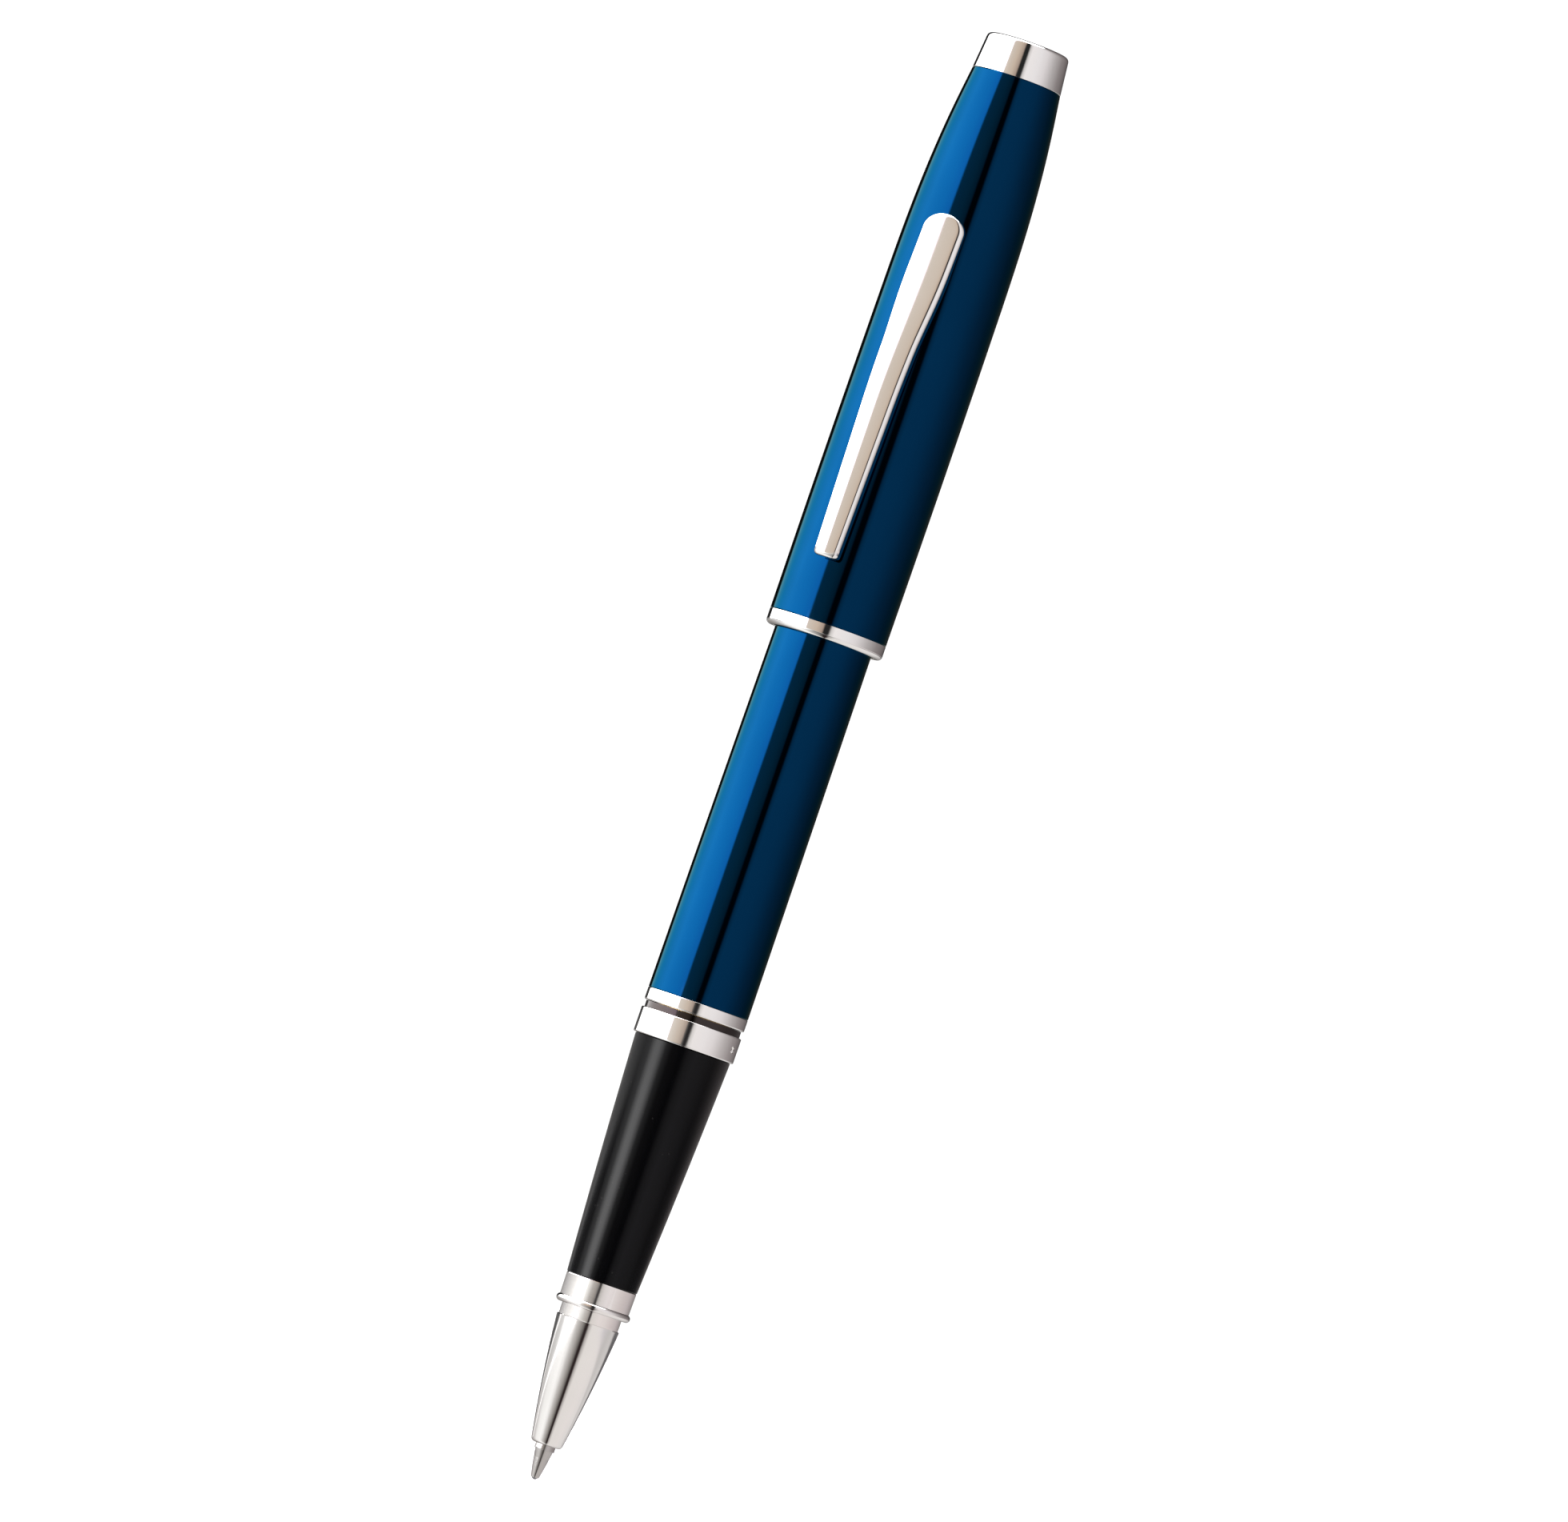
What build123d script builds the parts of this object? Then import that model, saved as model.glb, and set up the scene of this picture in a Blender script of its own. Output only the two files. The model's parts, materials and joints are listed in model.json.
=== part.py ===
"""Rollerball pen with its cap posted on the barrel, standing on its writing tip.

The origin is the lowest point of the writing ball, +Z runs along the pen's axis to the
finial on the cap, and the clip is on the -Y side.  All sizes are in millimetres.

The pen comes apart into five groups that move on each other:
    section        nose cone, front trim, grip and the threaded core behind it
    refill         writing tip, ink tube and end plug, pushed forward by a spring
    spring seat    the spring and its cup, which follow the barrel without turning
    barrel         screws on the section
    cap and clip   pushed on the barrel's rear end
"""

import os
from math import pi

from build123d import *

# ---------------------------------------------------------------------------
# Fits between pieces
# ---------------------------------------------------------------------------
FIXED_GAP = 0.02  # radial gap of pieces that are pressed or glued together
RUNNING_GAP = 0.10  # radial gap round the sliding refill
TIP_GAP = 0.05  # radial gap round the writing tip in the nose
SEAT_GAP = 0.05  # end gap between groups that part from each other
SEAM = 0.06  # small chamfer that shows each seam on the outside
RING_ROUND = 0.12  # rounded rims of the chromed rings

# ---------------------------------------------------------------------------
# Lengths along the axis
# ---------------------------------------------------------------------------
TIP_REACH = 3.64  # how far the writing tip stands out of the nose
NOSE_LENGTH = 13.11
NECK_LENGTH = 1.15
BEAD_LENGTH = 0.80
TRIM_LENGTH = 2.25
GRIP_LENGTH = 25.15
SECTION_RING_LENGTH = 2.67
GROOVE_LENGTH = 0.68
BARREL_RING_LENGTH = 1.35
BARREL_TUBE_LENGTH = 68.20
END_PLUG_LENGTH = 2.80
POSTED_ROOM = 5.70  # room inside the posted cap between the barrel's end and the clip's carrier
BAND_LENGTH = 1.57
CAP_TUBE_LENGTH = 58.53
FINIAL_LENGTH = 3.90

# ---------------------------------------------------------------------------
# Radii, from the refill outwards
# ---------------------------------------------------------------------------
REFILL_RADIUS = 3.05
REFILL_WALL = 0.35
REFILL_NECK_RADIUS = 2.20
CORE_WALL = 0.57
THREAD_STEP = 0.18  # how far the thread's root stands out of the core
THREAD_DEPTH = 0.35
THREAD_GAP = 0.10
INSERT_WALL = 0.40
BARREL_WALL = 0.545
BARREL_TAPER = 0.445
BARREL_SWELL = 0.055  # how far the barrel's side bulges out of a straight taper
BARREL_REAR_WALL = 0.62
GROOVE_DEPTH = 0.255
GRIP_STEP = 0.275
GRIP_FRONT_WALL = 0.58
GRIP_SWELL = 0.06
TRIM_STEP = 0.03
TRIM_FLARE = 0.04
BEAD_HEIGHT = 0.22
NECK_DEPTH = 0.55
NOSE_SPIGOT_WALL = 0.45
NOSE_SPIGOT_PAST_BEAD = 0.90
NOSE_LIP = 0.17  # how far the nose's rear edge stands out of the neck
NOSE_FRONT_RADIUS = 1.60
NOSE_ROUND = 0.42
NOSE_SWELL = 0.14
CAP_PASS_GAP = 0.11  # the cap's mouth slides over the section ring
LINER_WALL = 0.28
CAP_WALL = 0.46
CAP_SWELL = 0.04
CAP_SWELL_SHARE = 0.23  # where along the tube the cap is widest
CAP_TAPER = 1.49
CAP_SIDE = ((0.573, 0.01), (0.756, 0.13), (0.855, 0.36), (0.921, 0.61))  # share of length, of taper
BAND_ROUND = 0.45
FINIAL_TAPER = 0.38
FINIAL_ROUND = 0.48

# ---------------------------------------------------------------------------
# Writing tip and refill
# ---------------------------------------------------------------------------
BALL_RADIUS = 0.35
BALL_GAP = 0.03
BALL_SHOWING = 0.20  # how far the ball stands out of its socket
SOCKET_LIP_RADIUS = 0.42
SOCKET_REAR_RADIUS = 0.93
COLLAR_RADIUS = 1.05
COLLAR_LENGTH = 0.57
INK_HOLE_RADIUS = 0.16
FEED_RADIUS = 0.45
FEED_GAP = 0.04
FEED_FRONT = 1.60
FEED_INTO_RESERVOIR = 18.0
SOCKET_SHANK = 5.0  # how far the tip's shank goes into the refill's neck
SPIGOT_LENGTH = 3.05  # the front trim's spigot in the grip
SHOULDER_LENGTH = 0.95
NECK_PLUG_LENGTH = 5.0
NECK_END_GAP = 0.40  # between the refill's neck and the step in the nose's bore
RESERVOIR_GAP = 0.06
REFILL_END_LENGTH = 1.20
REFILL_END_INSIDE = 4.0
BOSS_RADIUS = 1.85
BOSS_LENGTH = 2.0

# ---------------------------------------------------------------------------
# Core and thread
# ---------------------------------------------------------------------------
CORE_IN_GRIP = 10.0
CORE_CHAMFER = 0.18
PITCH = 0.80
SPIGOT_THREAD_LENGTH = 5.20
NUT_THREAD_LENGTH = 4.00
NUT_START_TURNS = 1.5  # the half turn sets the nut's ridges between the spigot's
THREAD_LEAD_IN = 0.75
THREAD_RUN_OUT = 1.00
ROOT_HALF_WIDTH = 0.19
CREST_HALF_WIDTH = 0.10
ROOT_SINK = 0.06  # how deep a thread's root is let into its wall
INSERT_LENGTH = 6.80
UNSCREWED_TURNS = 4.5

# ---------------------------------------------------------------------------
# Spring and its cup
# ---------------------------------------------------------------------------
SPRING_LENGTH = 4.50
SPRING_RADIUS = 2.35
SPRING_TURNS = 5
WIRE_RADIUS = 0.20
CUP_LENGTH = 1.00
CUP_RADIUS = 3.40
CUP_PIN_LENGTH = 1.10
END_PLUG_INSIDE = 3.0
END_PLUG_ROUND = 1.20

# ---------------------------------------------------------------------------
# Inside the cap
# ---------------------------------------------------------------------------
BAND_SPIGOT = 2.40
CLUTCH_LENGTH = 5.50
CLUTCH_GAP = 0.08  # the clutch's fingers round the barrel
CLUTCH_SLITS = 6
CLUTCH_SLIT_WIDTH = 0.60
CLUTCH_SLIT_LENGTH = 4.30
CARRIER_LENGTH = 6.40
CARRIER_BELOW_CLIP_TOP = 0.30
CARRIER_ROOM = 0.38  # radial room for the nose in the carrier when the pen is closed
SEAL_ROOM = 0.28  # radial room for the nose in the seal cup when the pen is closed
SEAL_CUP_LENGTH = 5.20
SEAL_CUP_FLOOR = 0.50
CAP_SHOULDER_WALL = 0.61
CAP_TOP_WALL = 0.60
TOP_BORE_LENGTH = 5.60
BUSH_LENGTH = 6.90
STEM_RADIUS = 1.50
NUT_LENGTH = 2.10
NUT_FLATS = 4.0

# ---------------------------------------------------------------------------
# Clip, seen from -Y: its free end is down, its root up
# ---------------------------------------------------------------------------
CLIP_ABOVE_BAND = 6.23  # from the cap's band to the clip's free end
CLIP_TOP_BELOW_TUBE = 15.40  # from the cap tube's top edge to the clip's top edge
CLIP_DEPTH = 1.30
CLIP_EDGE_ROUND = 0.42
CLIP_CROWN = 0.22
CLIP_HEAD_WIDTH = 4.45
CLIP_TAIL_WIDTH = 2.62
CLIP_STAND_OFF = 2.20  # from the cap's side to the clip's front at its middle
CLIP_HEAD_DROP = 1.85  # how far the front comes back in towards the head
CLIP_DROP_START = 0.45
CLIP_DROP_END = 1.05
CLIP_EVEN_TAPER = 0.95
CLIP_SWELL_START = 0.60
CLIP_SWELL_END = 0.84
CLIP_CORNER = 0.45
CLIP_HEAD_ROUND = 1.80  # height of the half ellipse that ends the head
CLIP_STEPS = 12
CLIP_GAP = 0.12  # between the clip's head and the cap
TANG_WIDTH = 2.00
TANG_HEIGHT = 2.20
TANG_REACH = 1.50  # how far the tang goes inside the cap's bore
TANG_ROOT = 0.20  # how deep the tang is let into the clip
TANG_BELOW_TOP = 1.05
SLOT_GAP = 0.15
PAD_RADIUS = 1.00
PAD_ABOVE_END = 2.00
PAD_GAP = 0.06

# The small blind dimple in the section ring
DIMPLE_RADIUS = 0.38
DIMPLE_DEPTH = 0.16
DIMPLE_ANGLE = -5.9  # round the axis from +X

# ---------------------------------------------------------------------------
# Heights worked out from the lengths
# ---------------------------------------------------------------------------
nose_low = TIP_REACH
nose_high = nose_low + NOSE_LENGTH
neck_high = nose_high + NECK_LENGTH
bead_high = neck_high + BEAD_LENGTH
trim_high = bead_high + TRIM_LENGTH
grip_high = trim_high + GRIP_LENGTH
section_ring_high = grip_high + SECTION_RING_LENGTH
groove_high = section_ring_high + GROOVE_LENGTH
barrel_ring_low = groove_high + SEAT_GAP
barrel_ring_high = groove_high + BARREL_RING_LENGTH
barrel_tube_high = barrel_ring_high + BARREL_TUBE_LENGTH
barrel_end = barrel_tube_high + END_PLUG_LENGTH
end_plug_low = barrel_tube_high - END_PLUG_INSIDE
spring_cup_high = end_plug_low - SEAT_GAP
spring_cup_low = spring_cup_high - CUP_LENGTH
spring_low = spring_cup_low - SPRING_LENGTH
refill_end = spring_low - SEAT_GAP
refill_tube_high = refill_end - REFILL_END_LENGTH
shoulder_low = trim_high + SPIGOT_LENGTH + SEAT_GAP
shoulder_high = shoulder_low + SHOULDER_LENGTH
collar_high = nose_low + SEAT_GAP
collar_low = collar_high - COLLAR_LENGTH
neck_front = collar_high + SOCKET_SHANK
core_low = grip_high - CORE_IN_GRIP
thread_low = groove_high + THREAD_LEAD_IN
thread_high = thread_low + SPIGOT_THREAD_LENGTH
core_high = thread_high + THREAD_RUN_OUT
insert_high = barrel_ring_high + INSERT_LENGTH
carrier_low = barrel_end + POSTED_ROOM
carrier_high = carrier_low + CARRIER_LENGTH
clip_high = carrier_high + CARRIER_BELOW_CLIP_TOP
tang_high = clip_high - TANG_BELOW_TOP
cap_tube_high = clip_high + CLIP_TOP_BELOW_TUBE
finial_high = cap_tube_high + FINIAL_LENGTH
band_high = cap_tube_high - CAP_TUBE_LENGTH
cap_low = band_high - BAND_LENGTH
band_spigot_high = band_high + BAND_SPIGOT
clutch_high = band_spigot_high + CLUTCH_LENGTH
clip_low = band_high + CLIP_ABOVE_BAND
clip_length = clip_high - clip_low
seal_low = carrier_high
seal_high = seal_low + SEAL_CUP_LENGTH

# ---------------------------------------------------------------------------
# Radii worked out from the inside outwards
# ---------------------------------------------------------------------------
refill_bore = REFILL_RADIUS + RUNNING_GAP
neck_bore = REFILL_NECK_RADIUS + RUNNING_GAP
core_radius = refill_bore + CORE_WALL
core_seat = core_radius + FIXED_GAP
thread_root = core_radius + THREAD_STEP
thread_crest = thread_root + THREAD_DEPTH
nut_root = thread_crest + THREAD_GAP
nut_crest = thread_root + THREAD_GAP
insert_radius = nut_root + INSERT_WALL
barrel_bore = insert_radius + FIXED_GAP
barrel_radius = barrel_bore + BARREL_WALL
barrel_rear_radius = barrel_radius - BARREL_TAPER
barrel_rear_bore = barrel_rear_radius - BARREL_REAR_WALL
groove_radius = barrel_radius - GROOVE_DEPTH
grip_rear_radius = barrel_radius - GRIP_STEP
grip_front_radius = refill_bore + GRIP_FRONT_WALL
trim_radius = grip_front_radius - TRIM_STEP
bead_radius = trim_radius + BEAD_HEIGHT
neck_radius = trim_radius - NECK_DEPTH
nose_rear_radius = neck_radius + NOSE_LIP
front_spigot_radius = refill_bore - FIXED_GAP
nose_spigot_radius = neck_bore + NOSE_SPIGOT_WALL
cap_mouth = barrel_radius + CAP_PASS_GAP
liner_radius = cap_mouth + LINER_WALL
cap_bore = liner_radius + FIXED_GAP
cap_radius = cap_bore + CAP_WALL
cap_top_radius = cap_radius - CAP_TAPER
cap_top_bore = cap_top_radius - CAP_TOP_WALL
carrier_bore = nose_rear_radius + CARRIER_ROOM
seal_cup_bore = nose_rear_radius + SEAL_ROOM


def half_section(corners):
    """Closed outline in the plane of the axis, from (radius, height) corners."""
    with BuildSketch(Plane.XZ) as section:
        with BuildLine():
            Polyline(*corners, close=True)
        make_face()
    return section.sketch


def tube_section(outer, inner, low, high):
    """Half section of a plain tube."""
    return half_section([(inner, low), (outer, low), (outer, high), (inner, high)])


def rim_edges(part):
    """The circular edges on a turned part's largest radius."""
    return part.edges().filter_by(GeomType.CIRCLE).group_by(SortBy.RADIUS)[-1]


def thread_section(wall, inward, height):
    """Trapezoid of one thread ridge, let into its wall, in the plane of the axis."""
    side = -1 if inward else 1
    foot = wall - side * ROOT_SINK
    crest = wall + side * THREAD_DEPTH
    with BuildSketch(Plane.XZ) as ridge:
        with BuildLine():
            Polyline(
                (foot, height - ROOT_HALF_WIDTH),
                (crest, height - CREST_HALF_WIDTH),
                (crest, height + CREST_HALF_WIDTH),
                (foot, height + ROOT_HALF_WIDTH),
                close=True,
            )
        make_face()
    return ridge.sketch


def cap_side_points(gap):
    """Points of the cap's side from the band to the finial, stood off by a gap."""
    return [
        (cap_radius + gap, band_high + SEAM),
        (cap_radius + CAP_SWELL + gap, band_high + CAP_SWELL_SHARE * CAP_TUBE_LENGTH),
        *(
            (cap_radius - drop * CAP_TAPER + gap, band_high + share * CAP_TUBE_LENGTH)
            for share, drop in CAP_SIDE
        ),
        (cap_top_radius + gap, cap_tube_high - SEAM),
    ]


def cap_side_radius(height):
    """Radius of the cap's side at a height, along straight lines between its points."""
    points = cap_side_points(0)
    for (low_radius, low), (high_radius, high) in zip(points, points[1:]):
        if low <= height <= high:
            return low_radius + (high_radius - low_radius) * (height - low) / (high - low)
    return cap_radius


os.makedirs("parts", exist_ok=True)

# ---------------------------------------------------------------------------
# Section: what the fingers hold
# ---------------------------------------------------------------------------
nose_spigot_high = bead_high + NOSE_SPIGOT_PAST_BEAD
front_spigot_high = trim_high + SPIGOT_LENGTH
nose_mid_height = nose_low + NOSE_LENGTH / 2
nose_mid_radius = (NOSE_FRONT_RADIUS + nose_rear_radius) / 2 + NOSE_SWELL
tip_bore = COLLAR_RADIUS + TIP_GAP

with BuildPart() as nose_cone:
    with BuildSketch(Plane.XZ):
        with BuildLine():
            Polyline((tip_bore, nose_low), (NOSE_FRONT_RADIUS - NOSE_ROUND, nose_low))
            RadiusArc(
                (NOSE_FRONT_RADIUS - NOSE_ROUND, nose_low),
                (NOSE_FRONT_RADIUS, nose_low + NOSE_ROUND),
                -NOSE_ROUND,
            )
            ThreePointArc(
                (NOSE_FRONT_RADIUS, nose_low + NOSE_ROUND),
                (nose_mid_radius, nose_mid_height),
                (nose_rear_radius, nose_high),
            )
            Polyline(
                (nose_rear_radius, nose_high),
                (nose_spigot_radius, nose_high),
                (nose_spigot_radius, nose_spigot_high),
                (neck_bore, nose_spigot_high),
                (neck_bore, neck_front),
                (tip_bore, neck_front),
                (tip_bore, nose_low),
            )
        make_face()
    revolve(axis=Axis.Z)

trim_bore = nose_spigot_radius + FIXED_GAP
bead_mid = (neck_high + bead_high) / 2
bead_foot = bead_radius - BEAD_LENGTH / 2

with BuildPart() as front_trim:
    with BuildSketch(Plane.XZ):
        with BuildLine():
            Polyline(
                (trim_bore, nose_high),
                (neck_radius, nose_high),
                (neck_radius, neck_high),
                (bead_foot, neck_high),
            )
            ThreePointArc((bead_foot, neck_high), (bead_radius, bead_mid), (bead_foot, bead_high))
            Polyline(
                (bead_foot, bead_high),
                (trim_radius - TRIM_FLARE, bead_high),
                (trim_radius, trim_high),
                (front_spigot_radius, trim_high),
                (front_spigot_radius, front_spigot_high),
                (neck_bore, front_spigot_high),
                (neck_bore, nose_spigot_high),
                (trim_bore, nose_spigot_high),
                (trim_bore, nose_high),
            )
        make_face()
    revolve(axis=Axis.Z)

grip_mid_height = (trim_high + grip_high) / 2
grip_mid_radius = (grip_front_radius + grip_rear_radius) / 2 + GRIP_SWELL

with BuildPart() as grip_sleeve:
    with BuildSketch(Plane.XZ):
        with BuildLine():
            Polyline((refill_bore, trim_high), (grip_front_radius, trim_high))
            ThreePointArc(
                (grip_front_radius, trim_high),
                (grip_mid_radius, grip_mid_height),
                (grip_rear_radius, grip_high),
            )
            Polyline(
                (grip_rear_radius, grip_high),
                (core_seat, grip_high),
                (core_seat, core_low),
                (refill_bore, core_low),
                (refill_bore, trim_high),
            )
        make_face()
    revolve(axis=Axis.Z)

with BuildPart() as section_core:
    core_outline = half_section(
        [
            (refill_bore, core_low),
            (core_radius, core_low),
            (core_radius, groove_high),
            (thread_root, groove_high),
            (thread_root, core_high - CORE_CHAMFER),
            (thread_root - CORE_CHAMFER, core_high),
            (refill_bore, core_high),
        ]
    )
    revolve(core_outline, axis=Axis.Z)
    with BuildLine(mode=Mode.PRIVATE) as spigot_helix:
        Helix(PITCH, SPIGOT_THREAD_LENGTH, thread_root, center=(0, 0, thread_low))
    sweep(
        thread_section(thread_root, False, thread_low),
        path=spigot_helix.line,
        is_frenet=True,
    )

with BuildPart() as section_ring:
    revolve(tube_section(barrel_radius, core_seat, grip_high, section_ring_high), axis=Axis.Z)
    fillet(rim_edges(section_ring), RING_ROUND)
    with BuildSketch(
        Plane(
            origin=Vector(barrel_radius, 0, (grip_high + section_ring_high) / 2).rotate(
                Axis.Z, DIMPLE_ANGLE
            ),
            z_dir=Vector(1, 0, 0).rotate(Axis.Z, DIMPLE_ANGLE),
        )
    ):
        Circle(DIMPLE_RADIUS)
    extrude(amount=DIMPLE_DEPTH, both=True, mode=Mode.SUBTRACT)

with BuildPart() as groove_collar:
    revolve(tube_section(groove_radius, core_seat, section_ring_high, groove_high), axis=Axis.Z)

# ---------------------------------------------------------------------------
# Refill
# ---------------------------------------------------------------------------
ball_center = BALL_RADIUS
socket_cavity = BALL_RADIUS + BALL_GAP
feed_bore = FEED_RADIUS + FEED_GAP

with BuildPart() as tip_ball:
    with Locations((0, 0, ball_center)):
        Sphere(BALL_RADIUS)

with BuildPart() as tip_socket:
    socket_outline = half_section(
        [
            (0, BALL_SHOWING),
            (SOCKET_LIP_RADIUS, BALL_SHOWING),
            (SOCKET_REAR_RADIUS, collar_low),
            (COLLAR_RADIUS, collar_low),
            (COLLAR_RADIUS, neck_front + SOCKET_SHANK),
            (feed_bore, neck_front + SOCKET_SHANK),
            (feed_bore, FEED_FRONT - FEED_GAP),
            (INK_HOLE_RADIUS, FEED_FRONT - FEED_GAP - INK_HOLE_RADIUS),
            (INK_HOLE_RADIUS, ball_center),
            (0, ball_center),
        ]
    )
    revolve(socket_outline, axis=Axis.Z)
    with Locations((0, 0, ball_center)):
        Sphere(socket_cavity, mode=Mode.SUBTRACT)

refill_inside = REFILL_RADIUS - REFILL_WALL
plug_radius = refill_inside - FIXED_GAP
shank_bore = COLLAR_RADIUS + FIXED_GAP
shank_end = neck_front + SOCKET_SHANK + SEAT_GAP
neck_plug_high = shoulder_high + NECK_PLUG_LENGTH

with BuildPart() as refill_neck:
    neck_outline = half_section(
        [
            (shank_bore, neck_front + NECK_END_GAP),
            (REFILL_NECK_RADIUS, neck_front + NECK_END_GAP),
            (REFILL_NECK_RADIUS, shoulder_low),
            (REFILL_RADIUS, shoulder_low),
            (REFILL_RADIUS, shoulder_high),
            (plug_radius, shoulder_high),
            (plug_radius, neck_plug_high),
            (feed_bore, neck_plug_high),
            (feed_bore, shank_end),
            (shank_bore, shank_end),
        ]
    )
    revolve(neck_outline, axis=Axis.Z)

with BuildPart() as refill_tube:
    revolve(tube_section(REFILL_RADIUS, refill_inside, shoulder_high, refill_tube_high), axis=Axis.Z)

reservoir_low = neck_plug_high + SEAT_GAP
reservoir_high = refill_tube_high - REFILL_END_INSIDE - SEAT_GAP
feed_high = reservoir_low + FEED_INTO_RESERVOIR

with BuildPart() as ink_reservoir:
    reservoir_outline = half_section(
        [
            (feed_bore, reservoir_low),
            (refill_inside - RESERVOIR_GAP, reservoir_low),
            (refill_inside - RESERVOIR_GAP, reservoir_high),
            (0, reservoir_high),
            (0, feed_high + FEED_GAP),
            (feed_bore, feed_high + FEED_GAP),
        ]
    )
    revolve(reservoir_outline, axis=Axis.Z)

with BuildPart() as feed_rod:
    with BuildSketch(Plane.XY.offset(FEED_FRONT)):
        Circle(FEED_RADIUS)
    extrude(amount=feed_high - FEED_FRONT)
    chamfer(feed_rod.edges().group_by(Axis.Z)[0], FEED_RADIUS - INK_HOLE_RADIUS)

with BuildPart() as refill_end_plug:
    end_outline = half_section(
        [
            (0, refill_tube_high - REFILL_END_INSIDE),
            (plug_radius, refill_tube_high - REFILL_END_INSIDE),
            (plug_radius, refill_tube_high),
            (REFILL_RADIUS, refill_tube_high),
            (REFILL_RADIUS, refill_end),
            (BOSS_RADIUS, refill_end),
            (BOSS_RADIUS, refill_end + BOSS_LENGTH),
            (0, refill_end + BOSS_LENGTH),
        ]
    )
    revolve(end_outline, axis=Axis.Z)

# ---------------------------------------------------------------------------
# Spring seat
# ---------------------------------------------------------------------------
with BuildPart() as refill_spring:
    coil_low = spring_low + WIRE_RADIUS
    coil_rise = SPRING_LENGTH - 2 * WIRE_RADIUS - SEAM
    with BuildLine() as spring_path:
        Helix(coil_rise / SPRING_TURNS, coil_rise, SPRING_RADIUS, center=(0, 0, coil_low))
    with BuildSketch(Plane(origin=spring_path.line @ 0, z_dir=spring_path.line % 0)):
        Circle(WIRE_RADIUS)
    sweep(path=spring_path.line, is_frenet=True)

with BuildPart() as spring_cup:
    cup_outline = half_section(
        [
            (0, spring_cup_low - CUP_PIN_LENGTH),
            (BOSS_RADIUS, spring_cup_low - CUP_PIN_LENGTH),
            (BOSS_RADIUS, spring_cup_low),
            (CUP_RADIUS, spring_cup_low),
            (CUP_RADIUS, spring_cup_high),
            (0, spring_cup_high),
        ]
    )
    revolve(cup_outline, axis=Axis.Z)

# ---------------------------------------------------------------------------
# Barrel
# ---------------------------------------------------------------------------
nut_low = thread_low + PITCH * NUT_START_TURNS

with BuildPart() as barrel_ring:
    revolve(tube_section(barrel_radius, nut_root, barrel_ring_low, barrel_ring_high), axis=Axis.Z)
    fillet(rim_edges(barrel_ring), RING_ROUND)

with BuildPart() as barrel_thread_insert:
    revolve(tube_section(insert_radius, nut_root, barrel_ring_high, insert_high), axis=Axis.Z)
    with BuildLine(mode=Mode.PRIVATE) as insert_helix:
        Helix(PITCH, NUT_THREAD_LENGTH, nut_root, center=(0, 0, nut_low))
    sweep(thread_section(nut_root, True, nut_low), path=insert_helix.line, is_frenet=True)

barrel_mid_height = (barrel_ring_high + barrel_tube_high) / 2
barrel_mid_radius = (barrel_radius + barrel_rear_radius) / 2 + BARREL_SWELL

with BuildPart() as barrel_tube:
    with BuildSketch(Plane.XZ):
        with BuildLine():
            Polyline(
                (barrel_bore, barrel_ring_high),
                (barrel_radius - SEAM, barrel_ring_high),
                (barrel_radius, barrel_ring_high + SEAM),
            )
            ThreePointArc(
                (barrel_radius, barrel_ring_high + SEAM),
                (barrel_mid_radius, barrel_mid_height),
                (barrel_rear_radius, barrel_tube_high),
            )
            Polyline(
                (barrel_rear_radius, barrel_tube_high),
                (barrel_rear_bore, barrel_tube_high),
                (barrel_rear_bore, insert_high),
                (barrel_bore, insert_high),
                (barrel_bore, barrel_ring_high),
            )
        make_face()
    revolve(axis=Axis.Z)

with BuildPart() as barrel_end_plug:
    with BuildSketch(Plane.XZ):
        with BuildLine():
            Polyline(
                (0, end_plug_low),
                (barrel_rear_bore - FIXED_GAP, end_plug_low),
                (barrel_rear_bore - FIXED_GAP, barrel_tube_high),
                (barrel_rear_radius, barrel_tube_high),
                (barrel_rear_radius, barrel_end - END_PLUG_ROUND),
            )
            RadiusArc(
                (barrel_rear_radius, barrel_end - END_PLUG_ROUND),
                (barrel_rear_radius - END_PLUG_ROUND, barrel_end),
                -END_PLUG_ROUND,
            )
            Polyline(
                (barrel_rear_radius - END_PLUG_ROUND, barrel_end),
                (0, barrel_end),
                (0, end_plug_low),
            )
        make_face()
    revolve(axis=Axis.Z)

# ---------------------------------------------------------------------------
# Cap
# ---------------------------------------------------------------------------
with BuildPart() as cap_band:
    with BuildSketch(Plane.XZ):
        with BuildLine():
            Polyline((cap_mouth, cap_low), (cap_radius - BAND_ROUND, cap_low))
            RadiusArc(
                (cap_radius - BAND_ROUND, cap_low), (cap_radius, cap_low + BAND_ROUND), -BAND_ROUND
            )
            Polyline(
                (cap_radius, cap_low + BAND_ROUND),
                (cap_radius, band_high - SEAM),
                (cap_radius - SEAM, band_high),
                (liner_radius, band_high),
                (liner_radius, band_spigot_high),
                (cap_mouth, band_spigot_high),
                (cap_mouth, cap_low),
            )
        make_face()
    revolve(axis=Axis.Z)

# The barrel's side at the clutch, so that the fingers close round it.
clutch_share = (band_spigot_high - barrel_ring_high) / BARREL_TUBE_LENGTH
clutch_bore = (
    barrel_radius
    - BARREL_TAPER * clutch_share
    + 4 * BARREL_SWELL * clutch_share * (1 - clutch_share)
    + CLUTCH_GAP
)

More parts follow.
